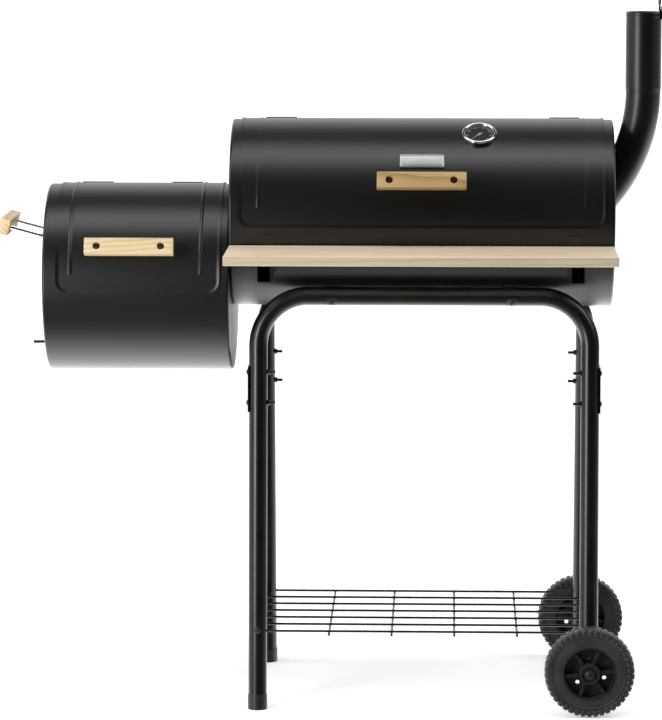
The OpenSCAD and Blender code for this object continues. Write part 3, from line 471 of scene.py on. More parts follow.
def runTree(mesh, tree, values):
    # runs a geometry tree on a mesh; the result is a plain mesh
    piece = place("input", mesh)
    modifier = piece.modifiers.new("build", "NODES")
    modifier.node_group = tree
    for socket in tree.interface.items_tree:
        if socket.in_out == "INPUT" and socket.name in values:
            modifier[socket.identifier] = values[socket.name]
    return bake(piece, 45.0)


def shellPoint(axis, x, radius, degrees):
    # degrees count from the front, over the top, to the back
    a = math.radians(degrees)
    return Vector((x, axis.y - radius * math.cos(a), axis.z + radius * math.sin(a)))


def shellTurn(axis, x, degrees):
    # turns a shape whose Z points outwards and whose X runs along the barrel onto the shell
    a = math.radians(degrees)
    out = Vector((0, -math.cos(a), math.sin(a)))
    along = Vector((1, 0, 0))
    matrix = Matrix((along, out.cross(along), out)).transposed().to_4x4()
    matrix.translation = Vector((x, axis.y, axis.z))
    return matrix


# shells and lids

barrelShape = {"wall": 0.0012, "openFront": 0.0, "openBack": 108.0, "lidLap": 0.012, "step": 3.0,
               "along": 0.08}


def spread(low, high, step):
    count = max(1, round((high - low) / step))
    return [low + (high - low) * i / count for i in range(count + 1)]


def shellMesh(node, lidNode):
    shape = barrelShape
    low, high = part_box(node)
    axis = (low + high) / 2
    lidLow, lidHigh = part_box(lidNode)
    openLow, openHigh = lidLow.x + shape["lidLap"], lidHigh.x - shape["lidLap"]
    xs = [low.x, openLow] + spread(openLow, openHigh, shape["along"])[1:] + [high.x]
    angles = spread(shape["openFront"], shape["openBack"], shape["step"])
    angles += spread(shape["openBack"], 360.0 + shape["openFront"], shape["step"])[1:-1]
    points = [shellPoint(axis, x, shellRadius, a) for x in xs for a in angles]
    faces = []
    for i in range(len(xs) - 1):
        for k in range(len(angles)):
            m = (k + 1) % len(angles)
            isOpen = openLow - 1e-6 < xs[i] < openHigh - 1e-6 and angles[k] < shape["openBack"] - 1e-6
            if not isOpen:
                faces.append((i * len(angles) + k, i * len(angles) + m,
                              (i + 1) * len(angles) + m, (i + 1) * len(angles) + k))
    mesh = meshOf(points, faces)
    pointOutwards(mesh, axis)
    return thickened(mesh, shape["wall"])


def pointOutwards(mesh, axis):
    # turns an open sheet's faces away from the barrel's axis
    sample = mesh.polygons[0]
    away = Vector((0, sample.center.y - axis.y, sample.center.z - axis.z))
    if sample.normal.dot(away) < 0:
        mesh.flip_normals()
        smoothMesh(mesh)


lidShape = {"edgeRound": 0.0215, "edgeRoll": 0.0011, "rollWidth": 0.0065, "front": -4.2, "back": 112.6,
            "beadWidth": 0.0075, "beadFront": 7.2, "beadBack": 101.0, "sheet": 0.0012, "gap": 0.0007,
            "step": 0.012, "edgeStep": 0.0012, "beadStep": 0.0009}


def lidMesh(node, axis, beadHalf, beadHeight):
    shape = lidShape
    low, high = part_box(node)
    outer = shellRadius + shape["gap"] + shape["sheet"]
    perDegree = math.pi / 180 * outer
    middleX, half = (low.x + high.x) / 2, (high.x - low.x) / 2
    front, back = shape["front"] * perDegree, shape["back"] * perDegree
    beadS = ((shape["beadFront"] + shape["beadBack"]) / 2 * perDegree,
             (shape["beadBack"] - shape["beadFront"]) / 2 * perDegree)
    width = shape["beadWidth"]

    def stations(low, high, beads):
        # coarse steps, with fine ones round each bead and at the edges
        marks = set(spread(low, high, shape["step"])) | {low + 0.0004, high - 0.0004}
        marks |= set(spread(low, low + shape["edgeRound"], shape["edgeStep"]))
        marks |= set(spread(high - shape["edgeRound"], high, shape["edgeStep"]))
        for bead in beads:
            marks |= set(spread(bead - width, bead + width, shape["beadStep"]))
        return sorted(m for m in marks if low - 1e-9 <= m <= high + 1e-9)

    xs = stations(low.x, high.x, [axis.x - beadHalf, axis.x + beadHalf])
    ss = stations(front, back, [beadS[0] - beadS[1], beadS[0] + beadS[1]])

    def swell(height, reach):
        return height * (0.5 + 0.5 * math.cos(math.pi * reach)) if reach < 1 else 0.0

    def beadLift(x, s):
        off = math.hypot(abs(x - axis.x) - beadHalf, max(0.0, abs(s - beadS[0]) - beadS[1] + width / 2))
        return swell(beadHeight, off / (width / 2))

    def edgeLift(x, s):
        # the rim turns out a little, round its two lower corners as well
        inX, inS = half - abs(x - middleX), s - front
        r = shape["edgeRound"]
        inside = r - math.hypot(r - inX, r - inS) if inX < r and inS < r else min(inX, inS)
        return swell(shape["edgeRoll"], max(0.0, inside) / shape["rollWidth"])

    points = []
    for s in ss:
        fromEdge = max(0.0, shape["edgeRound"] - (s - front))
        cut = shape["edgeRound"] - math.sqrt(max(0.0, shape["edgeRound"] ** 2 - fromEdge ** 2))
        for x in xs:
            clamped = middleX + max(-half + cut, min(half - cut, x - middleX))
            lift = max(beadLift(clamped, s), edgeLift(clamped, s))
            points.append(shellPoint(axis, clamped, outer + lift, s / perDegree))
    mesh = meshOf(points, gridFaces(len(ss), len(xs)), 60.0)
    pointOutwards(mesh, axis)
    return thickened(mesh, shape["sheet"], 60.0)


barrels = (("main", "main_barrel", "main_lid", barrelAxis, 0.272, 0.0006),
           ("fire", "firebox_shell", "firebox_lid", fireAxis, 0.109, 0.0017))
for prefix, shell, lid, _, _, _ in barrels:
    settle(prefix + "Shell", shellMesh(shell, lid), "stand", "black_paint", shell)
for prefix, _, lid, axis, beadHalf, beadHeight in barrels:
    settle(prefix + "Lid", lidMesh(lid, axis, beadHalf, beadHeight), lid, "black_paint", lid)
print("shells and lids made")


# geometry trees for what repeats

def repeatTree(name, *inputs):
    return newTree(name, "GeometryNodeTree", [("Mesh", "Geometry", None), *inputs], [("Mesh", "Geometry")])


def copiesOf(tree, start, end, points, turn):
    # one copy of the shape at each point
    shape = addNode(tree, "GeometryNodeObjectInfo", {"Object": start["Shape"]})
    copies = addNode(tree, "GeometryNodeInstanceOnPoints",
                     {"Points": points, "Instance": shape.outputs["Geometry"], "Rotation": turn.outputs[0]})
    real = addNode(tree, "GeometryNodeRealizeInstances", {"Geometry": copies.outputs[0]})
    feed(tree, end, {"Mesh": real.outputs[0]})
    return tree


def makeRingTree():
    # copies of one shape turned about the Y axis
    tree, start, end = repeatTree("ringOfShapes", ("Count", "Int", 12), ("First Angle", "Float", 0.0),
                                  ("Shape", "Object", None))
    line = addNode(tree, "GeometryNodeMeshLine", {"Offset": (0, 0, 0), "Count": start["Count"]})
    part = maths(tree, "DIVIDE", addNode(tree, "GeometryNodeInputIndex").outputs[0], start["Count"])
    angle = maths(tree, "ADD", times(tree, part, 2 * math.pi), start["First Angle"])
    return copiesOf(tree, start, end, line.outputs[0], addNode(tree, "ShaderNodeCombineXYZ", {"Y": angle}))


def makeFastenerTree():
    # one shape at each point, its Z along the point's facing vector
    tree, start, end = repeatTree("fasteners", ("Shape", "Object", None))
    facing = addNode(tree, "GeometryNodeInputNamedAttribute", {"Name": "facing"}, data_type="FLOAT_VECTOR")
    turn = addNode(tree, "FunctionNodeAlignRotationToVector", {"Vector": facing.outputs["Attribute"]},
                   axis="Z")
    return copiesOf(tree, start, end, start["Mesh"], turn)


def makeWireTree():
    # round wire along every edge of the input
    tree, start, end = repeatTree("roundWires", ("Wire Radius", "Float", 0.002), ("Sides", "Int", 12))
    curve = addNode(tree, "GeometryNodeMeshToCurve", {"Mesh": start["Mesh"]})
    section = addNode(tree, "GeometryNodeCurvePrimitiveCircle",
                      {"Resolution": start["Sides"], "Radius": start["Wire Radius"]})
    tube = addNode(tree, "GeometryNodeCurveToMesh",
                   {"Fill Caps": True, "Curve": curve.outputs[0], "Profile Curve": section.outputs[0]})
    feed(tree, end, {"Mesh": tube.outputs[0]})
    return tree


ringTree = makeRingTree()
fastenerTree = makeFastenerTree()
wireTree = makeWireTree()


def ringOf(shape, count, firstAngle):
    # copies a mesh modelled at the top of the ring
    holder = place("ringShape", shape)
    ring = runTree(bpy.data.meshes.new("ring"), ringTree,
                   {"Count": count, "First Angle": firstAngle, "Shape": holder})
    bpy.data.objects.remove(holder)
    return ring


def fasteners(shape, spots):
    # spots holds (place, outward direction) pairs
    points = bpy.data.meshes.new("spots")
    points.from_pydata([tuple(spot) for spot, _ in spots], [], [])
    facing = points.attributes.new("facing", "FLOAT_VECTOR", "POINT")
    for i, (_, way) in enumerate(spots):
        facing.data[i].vector = way
    holder = place("fastenerShape", shape)
    mesh = runTree(points, fastenerTree, {"Shape": holder})
    bpy.data.objects.remove(holder)
    return mesh


def wires(runs, radius, sides=12):
    # runs holds lists of points, one list for each wire
    points, edges = [], []
    for run in runs:
        first = len(points)
        points += [tuple(p) for p in run]
        edges += [(first + i, first + i + 1) for i in range(len(run) - 1)]
    mesh = bpy.data.meshes.new("runs")
    mesh.from_pydata(points, edges, [])
    return runTree(mesh, wireTree, {"Wire Radius": radius, "Sides": sides})


# wooden bars and their screws

bar = {"length": 0.148, "height": 0.027, "depth": 0.018, "screwPitch": 0.1066, "edge": 0.0009,
       "recessRadius": 0.0062, "recessDepth": 0.006, "lidFace": 0.1819, "angle": 21.2}
screwsAt = (-bar["screwPitch"] / 2, bar["screwPitch"] / 2)


def woodenBar(matrix):
    # the bar's back face is on the local plane z = 0, its length runs along x
    top, floor = bar["depth"], bar["depth"] - bar["recessDepth"]
    blank = boxMesh((bar["length"], bar["height"], top), centre=(0, 0, top / 2))
    r = bar["recessRadius"]
    profile = [(0, -0.002), (0.0026, -0.002), (0.0026, floor), (r, floor), (r, top - 0.0007),
               (r + 0.0007, top), (r + 0.0014, top + 0.0007), (0, top + 0.0007)]
    mesh = cutWith(bevelled(blank, bar["edge"], 2), [turnedMesh(profile, shifted((x, 0, 0)), 40)
                                                     for x in screwsAt])
    mesh.transform(matrix)
    return mesh


def screwShape(size):
    # round head on z = 0 with a cross recess and a washer, shank below
    head, rise, shank, radius, washer = (size[key] for key in ("head", "rise", "shank", "radius", "washer"))
    angles = [math.radians(degrees) for degrees in (0, 18, 36, 54, 72)]
    dome = [(head * math.cos(a), rise * math.sin(a)) for a in angles]
    profile = [(0, -shank), (radius * 0.8, -shank), (radius, -shank + radius * 0.4), (radius, -washer),
               (head * 1.25, -washer), (head * 1.25, 0)] + dome + [(0, rise)]
    slots = [boxMesh((head * 1.15, head * 0.28, rise * 0.9),
                     turnedBy(turn, "Z") @ shifted((0, 0, rise)))
             for turn in (0, 90)]
    return cutWith(turnedMesh(profile, flat, 28, sharp=50), slots, 50)


def nutShape(radius, height):
    corners = [(radius * math.cos(math.pi / 3 * i), radius * math.sin(math.pi / 3 * i)) for i in range(6)]
    mesh = prismMesh([(x, y, 0) for x, y in corners], [(x, y, height) for x, y in corners])
    return bevelled(mesh, radius * 0.09, 2)


raised = shifted((0, 0, bar["lidFace"]))
handles = [("mainHandleBar", barrelAxis, "main_lid", "main_handle", "pineHandle"),
           ("fireHandleBar", fireAxis, "firebox_lid", "firebox_handle", "pineFire")]
for name, axis, lid, node, look in handles:
    turn = shellTurn(axis, middle(node).x, bar["angle"])
    settle(name, woodenBar(turn @ raised), lid, "pine", node, look=look)

grip = {"tilt": 15.2, "rodLength": 0.0654, "rise": 0.072}
gripRoot = Vector((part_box("firebox_left_cap")[0].x, fireAxis.y, fireAxis.z + grip["rise"]))
gripTurn = (shifted(gripRoot) @ turnedBy(-90 + grip["tilt"], "Y")
            @ turnedBy(90, "Z") @ shifted((0, 0, grip["rodLength"])))
settle("sideGripBar", woodenBar(gripTurn), "stand", "pine", "side_grip", look="pineGrip")

screw = {"head": 0.0046, "rise": 0.0026, "shank": 0.0465, "radius": 0.0025, "washer": 0.0004}
nut = {"radius": 0.0046, "height": 0.004, "under": 0.0005}
for _, axis, lid, node, _ in handles:
    turn = shellTurn(axis, middle(node).x, bar["angle"])
    out = turn.to_3x3() @ Vector((0, 0, 1))
    seat = bar["lidFace"] + bar["depth"] - bar["recessDepth"]
    inside = shellRadius + nut["under"] - nut["height"]
    screws = fasteners(screwShape(screw), [(turn @ Vector((x, 0, seat)), out) for x in screwsAt])
    nuts = fasteners(nutShape(nut["radius"], nut["height"]),
                     [(turn @ Vector((x, 0, inside)), out) for x in screwsAt])
    settle(node.replace("_", "") + "screws", joinMeshes([screws, nuts], 50), lid, "zinc", node + "_screws",
           look="blackSteel")
print("handles made")


# front board

board = {"edge": 0.0010}
low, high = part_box("front_shelf")
blank = boxMesh(high - low, shifted((low + high) / 2))
settle("frontBoard", bevelled(blank, board["edge"]), "stand", "pine", "front_shelf")


# thermometer and plate

gauge = {"angle": 59.0, "lidOut": 0.1599, "sunk": 0.0038, "stem": 0.060, "nutRadius": 0.0065,
         "nutHeight": 0.005, "nutUnder": 0.0005, "ticks": 28, "tickTop": 0.0222, "sweep": 270,
         "longEvery": 4, "needleAt": 135}


def gaugePieces():
    turn = shellTurn(barrelAxis, middle("thermometer_case").x, gauge["angle"])
    base, crown = gauge["lidOut"], gauge["lidOut"] - gauge["sunk"]
    level = crown + 0.0050

    def turned(profile, height, steps=72, sharp=40.0):
        return turnedMesh([(r, height + h) for r, h in profile], turn, steps, sharp=sharp)

    stem = gauge["stem"]
    profile = [(0, -stem), (0.0022, -stem), (0.003, 0.002 - stem), (0.003, -0.0008), (0.0262, -0.0016),
               (0.0268, -0.0010)]
    profile += [(r, h - gauge["sunk"]) for r, h in
                [(0.0268, 0.0052), (0.0278, 0.0060), (0.0286, 0.0070), (0.0288, 0.0084), (0.0285, 0.0097),
                 (0.0277, 0.0106), (0.0266, 0.0110), (0.0254, 0.0108), (0.0245, 0.0100), (0.0240, 0.0086),
                 (0.0238, 0.0070), (0.0236, 0.0052), (0, 0.0050)]]
    holder = nutShape(gauge["nutRadius"], gauge["nutHeight"])
    holder.transform(turn @ shifted((0, 0, shellRadius + gauge["nutUnder"] - gauge["nutHeight"])))
    case = joinMeshes([turned(profile, base, 96, 50), holder], 50)
    settle("gaugeCase", case, "main_lid", "chrome", "thermometer_case")
    disc = [(0, 0), (0.0243, 0), (0.0244, 0.0003), (0.0243, 0.0006), (0.0236, 0.0007), (0, 0.0007)]
    settle("gaugeFace", turned(disc, level), "main_lid", "dial", "thermometer_dial")
    marks = []
    for i in range(gauge["ticks"] + 1):
        inner, width = (0.0168, 0.0009) if i % gauge["longEvery"] == 0 else (0.0192, 0.0005)
        outer = gauge["tickTop"]
        about = turn @ turnedBy(gauge["sweep"] * (i / gauge["ticks"] - 0.5), "Z")
        marks.append(boxMesh((width, outer - inner, 0.0002), about, (0, (inner + outer) / 2, level + 0.0008)))
    settle("gaugeScale", joinMeshes(marks), "main_lid", "dial", look="dialPrint")
    glass = [(0, 0.0080), (0.0238, 0.0078), (0.0239, 0.0082), (0.0236, 0.0086), (0.018, 0.0092), (0, 0.0095)]
    settle("gaugeWindow", turned(glass, crown), "main_lid", "glass", "thermometer_glass")
    low = level + 0.0012
    outline = [(-0.0011, -0.006), (0.0011, -0.006), (0.0006, 0.004), (0.0002, 0.0185), (-0.0002, 0.0185),
               (-0.0006, 0.004)]
    pointing = turn @ turnedBy(gauge["needleAt"], "Z")
    lower, upper = ([pointing @ Vector((x, y, low + h)) for x, y in outline] for h in (0, 0.0005))
    hub = turned([(0, 0), (0.0024, 0), (0.0024, 0.0009), (0.0018, 0.0013), (0, 0.0014)], low, 32)
    settle("gaugeNeedle", joinMeshes([prismMesh(lower, upper), hub]), "needle", "needle", "thermometer_needle")


plate = {"angle": 37.4, "width": 0.072, "height": 0.025, "thick": 0.0011, "corner": 0.0025,
         "border": 0.0022, "rim": 0.0005, "rimFrom": 0.0006}


def platePiece():
    # curved plain plate with a raised border
    x0, base, corner = middle("name_plate").x, gauge["lidOut"], plate["corner"]
    halfX, halfS = plate["width"] / 2, plate["height"] / 2
    xs, ss = spread(-halfX, halfX, 0.0008), spread(-halfS, halfS, 0.0006)
    points = []
    for s in ss:
        for x in xs:
            inX, inS = max(0.0, abs(x) - halfX + corner), max(0.0, abs(s) - halfS + corner)
            reach = math.hypot(inX, inS)
            pull = corner / reach if reach > corner else 1.0
            px = math.copysign(halfX - corner + inX * pull, x) if inX else x
            ps = math.copysign(halfS - corner + inS * pull, s) if inS else s
            edge = min(halfX - abs(px), halfS - abs(ps))
            rim = plate["rim"] if plate["rimFrom"] < edge < plate["border"] else 0.0
            points.append(shellPoint(barrelAxis, x0 + px, base + plate["thick"] + rim,
                                     plate["angle"] + math.degrees(ps / base)))
    mesh = meshOf(points, gridFaces(len(ss), len(xs)), 35)
    pointOutwards(mesh, barrelAxis)
    settle("plainPlate", thickened(mesh, plate["thick"], 35), "main_lid", "silver_plate", "name_plate")


gaugePieces()
platePiece()
print("thermometer and plate made")


# stand

stand = {"tubeRadius": 0.0155, "bendRadius": 0.084, "footSpread": 0.186, "legPitch": 0.555,
         "rightEnd": 0.052, "leftEnd": 0.009, "sides": 40, "boltAngle": 47.5, "boltLean": 36.0,
         "boltHalf": 0.150, "padGap": 0.0023, "dentWidth": 0.012, "dentDepth": 0.0022, "headSunk": 0.0012}


def tubeMesh(node, side):
    # side is -1 for the front tube and 1 for the rear one
    low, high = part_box(node)
    r = stand["tubeRadius"]
    runZ = high.z - r
    runY = abs((high.y - r if side < 0 else low.y + r) - barrelAxis.y)
    splay = math.atan((stand["footSpread"] - runY) / runZ)
    half, bend = stand["legPitch"] / 2, stand["bendRadius"]

    def leg(x, *drops):
        return [Vector((x, 0, -drop)) for drop in drops]

    along = lambda z: (runZ - z) / math.cos(splay)
    path = leg(-half, along(stand["leftEnd"]), along(0.3), bend + 0.02)
    path += arcPoints(Vector((-half + bend, 0, -bend)), Vector((-bend, 0, 0)), "Y", 90, 24)
    path += [Vector((x, 0, 0)) for x in spread(-half + bend, half - bend, 0.004)[1:-1]]
    path += arcPoints(Vector((half - bend, 0, -bend)), Vector((0, 0, bend)), "Y", 90, 24)
    path += leg(half, bend + 0.02, along(0.3), along(stand["rightEnd"]))
    mesh = sweptMesh(path, r, stand["sides"], sharp=60)
    mesh.transform(shifted(((low.x + high.x) / 2, barrelAxis.y + side * runY, runZ))
                   @ Matrix.Rotation(side * splay, 4, "X"))
    return mesh


def dent(mesh, spots, width, depth):
    # presses the surface in round each (place, outward direction)
    for vertex in mesh.vertices:
        for spot, out in spots:
            gap = vertex.co - spot
            if gap.dot(out) > -0.006:
                reach = (gap - out * gap.dot(out)).length / width
                if reach < 1:
                    vertex.co -= out * depth * (0.5 + 0.5 * math.cos(math.pi * reach))


def boltSpots(side):
    # places on a frame tube where the barrel bolts' heads lie, and their outward direction
    a, lean = math.radians(stand["boltAngle"]), math.radians(stand["boltLean"])
    ring = shellRadius + stand["padGap"] + stand["tubeRadius"]
    centre = barrelAxis + Vector((0, side * ring * math.cos(a), -ring * math.sin(a)))
    out = Vector((0, side * math.cos(lean), -math.sin(lean)))
    return [(centre + Vector((x, 0, 0)) + out * stand["tubeRadius"], out)
            for x in (-stand["boltHalf"], stand["boltHalf"])]


barrelBolts = boltSpots(-1) + boltSpots(1)
for name, node, side in (("frontFrameTube", "front_frame", -1), ("rearFrameTube", "rear_frame", 1)):
    tube = tubeMesh(node, side)
    dent(tube, barrelBolts, stand["dentWidth"], stand["dentDepth"])
    settle(name, tube, "stand", "frame_paint", node)
barrelBolt = {"head": 0.0066, "rise": 0.0034, "shank": 0.050, "radius": 0.003, "washer": 0.0006}
seats = [(spot - out * stand["headSunk"], out) for spot, out in barrelBolts]
heads = fasteners(screwShape(barrelBolt), seats)
settle("barrelBoltHeads", heads, "stand", "black_steel", "barrel_bolts")
print("stand made")


# wheels

wheel = {"lugs": 42, "lugHalf": 0.0041, "lugTaper": 0.86, "treadRadius": 0.0736, "ribs": 6,
         "ribWidth": 0.0055, "ribStart": 37.0, "holeRadius": 0.0036, "holeRing": 0.026,
         "holesAt": (40, 160, 280)}
aboutY = turnedBy(-90, "X")


def tyreMesh():
    half = [(0.0440, 0.0170), (0.0465, 0.0176), (0.0560, 0.0172), (0.0585, 0.0166), (0.0592, 0.0172),
            (0.0604, 0.0172), (0.0611, 0.0164), (0.0668, 0.0165), (0.0706, 0.0150), (0.0728, 0.0108),
            (wheel["treadRadius"], 0.0050)]
    profile = [(r, -w) for r, w in half] + half[::-1]
    body = turnedMesh(profile, aboutY, 120, closed=True, sharp=50)
    side = [(0.0012, 0.0712), (0.0012, 0.0743), (0.0105, 0.0750), (0.0152, 0.0742), (0.0174, 0.0722),
            (0.0180, 0.0690), (0.0176, 0.0632), (0.0150, 0.0628)]
    taper = [wheel["lugHalf"] * (wheel["lugTaper"] if 0 < i < 6 else 1.0) for i in range(len(side))]
    rings = []
    for sign, first in ((1, 0.0), (-1, 0.5)):
        lower, upper = ([(end * half, sign * y, z) for half, (y, z) in zip(taper, side)] for end in (-1, 1))
        lug = bevelled(prismMesh(lower, upper), 0.0004, 1)
        rings.append(ringOf(lug, wheel["lugs"], first * 2 * math.pi / wheel["lugs"]))
    return joinMeshes([body] + rings)


def rimMesh():
    # turned rim, web and hub, then thin and wide ribs
    section = [(0.00506, -0.0270), (0.0166, -0.0270), (0.0172, -0.0264), (0.0172, -0.0045), (0.0190, -0.0028),
               (0.0390, -0.0028), (0.0410, -0.0045), (0.0410, -0.0145), (0.0418, -0.0156), (0.0440, -0.0158),
               (0.0440, 0.0158), (0.0446, 0.0176), (0.0440, 0.0186), (0.0428, 0.0184), (0.0418, 0.0170),
               (0.0408, 0.0120), (0.0404, 0.0050), (0.0390, 0.0028), (0.0190, 0.0028), (0.0174, 0.0044),
               (0.0172, 0.0210), (0.0164, 0.0226), (0.0150, 0.0230), (0.0138, 0.0228), (0.0128, 0.0214),
               (0.0122, 0.0192), (0.0100, 0.0188), (0.00506, 0.0188)]
    rim = turnedMesh(section, aboutY, 96, closed=True, sharp=50)
    bore = [(0, -0.01), (wheel["holeRadius"], -0.01), (wheel["holeRadius"], 0.01), (0, 0.01)]
    for a in wheel["holesAt"]:
        where = turnedBy(a, "Y") @ shifted((wheel["holeRing"], 0, 0))
        rim = cutWith(rim, [turnedMesh(bore, where @ aboutY, 24)], 50)
    ribs = []
    for depth, y in ((0.0115, 0.0080), (0.0100, -0.0070)):
        rib = boxMesh((wheel["ribWidth"], depth, 0.0250), centre=(0, y, 0.0290))
        ribs.append(ringOf(bevelled(rib, 0.0008, 2), wheel["ribs"], math.radians(wheel["ribStart"])))
    return joinMeshes([rim] + ribs)


wheelKinds = (("Tyre", tyreMesh(), "tyre", "_tyre"), ("Rim", rimMesh(), "wheel_plastic", "_wheel_rim"))
for label, turn in (("front", 180), ("rear", 0)):
    matrix = shifted(middle(label + "_tyre")) @ turnedBy(turn, "Z")
    for kind, base, slot, ending in wheelKinds:
        mesh = base.copy()
        mesh.transform(matrix)
        settle(label + kind, mesh, label + "_wheel", slot, label + ending)
print("wheels made")


# wire shelf and grates

shelf = {"height": 0.130, "edge": 0.1733, "wires": 7, "crossWires": 4, "crossPitch": 0.105, "under": 0.0028,
         "frontOver": 0.016, "rearOver": 0.005, "wireRadius": 0.0020, "railRadius": 0.0021, "railHalf": 0.155,
         "tab": (0.016, 0.002, 0.021), "tabFace": 0.1569, "tabLow": 0.008, "tabEdge": 0.0006}


def wireShelfPiece():
    frameX, half = middle("front_frame").x, stand["legPitch"] / 2
    z, under, edge = shelf["height"], shelf["height"] - shelf["under"], shelf["edge"]

    def run(x0, y0, x1, y1, level):
        return [Vector((frameX + x, barrelAxis.y + y, level)) for x, y in ((x0, y0), (x1, y1))]

    runs = []
    for i in range(shelf["wires"]):
        y = 2 * edge * i / (shelf["wires"] - 1) - edge
        reach = half - (stand["tubeRadius"] - 0.001 if i in (0, shelf["wires"] - 1) else 0)
        runs.append(run(-reach, y, reach, y, z))
    for i in range(shelf["crossWires"]):
        x = (i - (shelf["crossWires"] - 1) / 2) * shelf["crossPitch"]
        runs.append(run(x, -edge - shelf["frontOver"], x, edge + shelf["rearOver"], under))
    rails = [run(s * half, -shelf["railHalf"], s * half, shelf["railHalf"], under) for s in (-1, 1)]
    _, thick, tall = shelf["tab"]
    meshes = [wires(runs, shelf["wireRadius"]), wires(rails, shelf["railRadius"])]
    for s in (-1, 1):
        for e in (-1, 1):
            centre = (frameX + s * half, barrelAxis.y + e * (shelf["tabFace"] - thick / 2),
                      z - shelf["tabLow"] + tall / 2)
            meshes.append(bevelled(boxMesh(shelf["tab"], centre=centre), shelf["tabEdge"], 2))
    settle("wireShelf", joinMeshes(meshes, 45), "stand", "frame_paint", "wire_shelf")


grate = {"rodRadius": 0.0025, "wireRadius": 0.002, "endGap": 0.001, "middleDrop": 0.0053}


def gratePiece(name, node, count, slot):
    low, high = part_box(node)
    r, thin = grate["rodRadius"], grate["wireRadius"]
    runs = [[Vector((low.x + r + i * (high.x - low.x - 2 * r) / (count - 1), y, high.z - thin))
             for y in (low.y + grate["endGap"], high.y - grate["endGap"])] for i in range(count)]
    rods = [[Vector((x, y, high.z - drop)) for x in (low.x, high.x)]
            for y, drop in ((low.y + r, r), (high.y - r, r), ((low.y + high.y) / 2, grate["middleDrop"]))]
    settle(name, joinMeshes([wires(runs, thin, 10), wires(rods, r)], 45), "stand", slot, node)


wireShelfPiece()
gratePiece("cookingGrateLeft", "cooking_grate_left", 21, "grate_steel")
gratePiece("cookingGrateRight", "cooking_grate_right", 21, "grate_steel")
gratePiece("charcoalGrate", "charcoal_grate", 24, "coal_grate")
gratePiece("fireGrate", "fire_grate", 13, "coal_grate")
print("wire shelf and grates made")


# chimney

chimney = {"pipeRadius": 0.030, "wall": 0.0015, "elbowRadius": 0.275, "elbowTop": 1.028, "elbowTurn": 41,
           "top": 1.160, "standOff": 0.0509, "step": 0.0008, "rib": 0.0003, "ribDrop": 0.0068,
           "ribHalf": 0.0022, "crease": 0.0008, "creaseLength": 0.008, "flare": 0.0004,
           "flareLength": 0.0012, "flange": (0.002, 0.092, 0.142), "flangeEdge": 0.0007, "boreGap": 0.0006}


def chimneyPiece():
    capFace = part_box("main_right_cap")[1].x
    pipeX = capFace + chimney["standOff"]
    r, elbow, top = chimney["pipeRadius"], chimney["elbowTop"], chimney["top"]
    path = arcPoints(Vector((pipeX - chimney["elbowRadius"], barrelAxis.y, elbow)),
                     Vector((chimney["elbowRadius"], 0, 0)), "Y", chimney["elbowTurn"], 60)[::-1]
    bendCount = len(path)
    path += [Vector((pipeX, barrelAxis.y, z)) for z in spread(elbow, top, chimney["step"])[1:]]
    radii = []
    for spot in path:
        drop = top - spot.z
        nearRib = max(0.0, 1 - abs(drop - chimney["ribDrop"]) / chimney["ribHalf"])
        nearElbow = max(0.0, elbow + chimney["creaseLength"] / 2 - spot.z) / chimney["creaseLength"]
        flare = chimney["flare"] if drop < chimney["flareLength"] else 0.0
        radii.append(r + chimney["rib"] * nearRib ** 0.7 - chimney["crease"] * min(1.0, nearElbow) + flare)
    mesh = sweptMesh(path, radii, 56, caps=False, sharp=60)
    # the pipe ends at the barrel's end cap
    tidy = bmesh.new()
    tidy.from_mesh(mesh)
    bmesh.ops.bisect_plane(tidy, geom=tidy.verts[:] + tidy.edges[:] + tidy.faces[:],
                           plane_co=(capFace, 0, 0), plane_no=(1, 0, 0), clear_inner=True)
    tidy.to_mesh(mesh)
    tidy.free()
    if max(mesh.polygons, key=lambda f: f.center.x).normal.x < 0:
        mesh.flip_normals()
    pipe = thickened(mesh, chimney["wall"], 60)
    thick, _, tall = chimney["flange"]
    centre = (capFace + thick / 2, barrelAxis.y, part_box("chimney_pipe")[0].z + tall / 2)
    flange = cutWith(bevelled(boxMesh(chimney["flange"], centre=centre), chimney["flangeEdge"], 2),
                     [sweptMesh(path[:bendCount], r - chimney["boreGap"], 48)])
    settle("chimneyPipe", joinMeshes([pipe, flange], 60), "stand", "black_paint", "chimney_pipe")


chimneyPiece()
print("chimney made")


# floor, light and camera

studio = {"floorHalf": 120.0, "floorTone": (0.86, 0.86, 0.86, 1), "floorGlow": 0.42,
          "cameraOffset": (0.04625, -6.2981, 1.4276), "cameraDown": 0.1359, "cameraLeft": 0.0320,
          "lens": 186.0, "lampSpot": (-1.5, -1.95, 0.75), "lampTarget": (-0.3, 0, 0.7),
          "lampSize": (0.7, 1.4), "lampPower": 37}


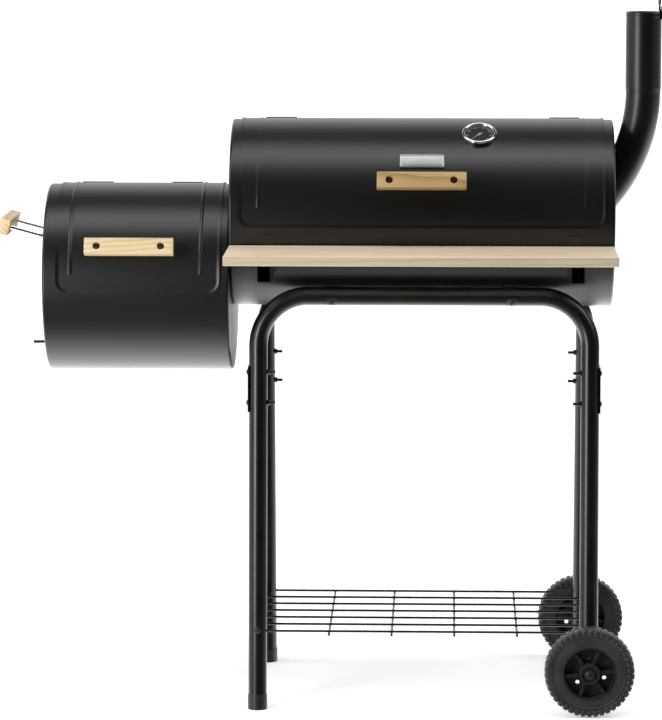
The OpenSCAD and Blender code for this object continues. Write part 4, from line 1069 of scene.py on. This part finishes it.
def makeFloor():
    half = studio["floorHalf"]
    points = [(-half, -half, 0), (half, -half, 0), (half, half, 0), (-half, half, 0)]
    floor = place("studioFloor", meshOf(points, [(0, 1, 2, 3)]))
    floor.location.z = -0.0005
    material, tree, shader = startMaterial("studioFloorPaint")
    feed(tree, shader, {"Base Color": studio["floorTone"], "Roughness": 0.9,
                        "Emission Color": (1, 1, 1, 1), "Emission Strength": studio["floorGlow"]})
    floor.data.materials.append(material)
    floor.visible_glossy = False
    floor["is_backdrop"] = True


def makeWorld():
    # white sweep behind and below, a soft box overhead, a darker studio in front
    world = bpy.data.worlds.new("studioWorld")
    scene.world = world
    world.use_nodes = True
    tree = world.node_tree
    where = addNode(tree, "ShaderNodeTexCoord").outputs["Generated"]
    x, y, z = addNode(tree, "ShaderNodeSeparateXYZ", {0: where}).outputs
    overhead = times(tree, mapRange(tree, y, -0.50, -0.28), mapRange(tree, y, 0.14, -0.06))
    behind, below = mapRange(tree, y, 0.45, 0.85), mapRange(tree, y, -0.60, 0.25)
    light = 0.008
    for part, strength in ((times(tree, behind, mapRange(tree, z, -0.60, -0.10)), 1.3),
                           (times(tree, overhead, mapRange(tree, z, 0.2, 0.6)), 3.5),
                           (times(tree, below, mapRange(tree, z, -0.10, -0.35)), 2.8),
                           (mapRange(tree, z, -0.15, -0.60), 0.25),
                           (mapRange(tree, x, -0.72, -0.92), 0.7),
                           (mapRange(tree, x, 0.78, 0.95), 0.12)):
        light = maths(tree, "ADD", times(tree, part, strength), light)
    feed(tree, tree.nodes["Background"], {"Strength": light, "Color": (1, 1, 1, 1)})


def makeLamp():
    # a close soft box at the front left
    lamp = bpy.data.lights.new("softBoxLeft", "AREA")
    lamp.shape, lamp.energy = "RECTANGLE", studio["lampPower"]
    lamp.size, lamp.size_y = studio["lampSize"]
    holder = place("softBoxLeft", lamp)
    spot = Vector(studio["lampSpot"])
    holder.location = spot
    holder.rotation_euler = (Vector(studio["lampTarget"]) - spot).to_track_quat("-Z", "Y").to_euler()


def makeCamera():
    data = bpy.data.cameras.new("camera")
    camera = place("camera", data)
    data.lens, data.sensor_width, data.clip_end = studio["lens"], 36.0, 500
    dx, dy, height = studio["cameraOffset"]
    camera.location = (barrelAxis.x + dx, barrelAxis.y + dy, height)
    camera.rotation_euler = (math.pi / 2 - studio["cameraDown"], 0, studio["cameraLeft"])
    scene.camera = camera


makeFloor()
makeWorld()
makeLamp()
makeCamera()
scene.view_settings.view_transform = "Standard"
print("studio made")

low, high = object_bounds()
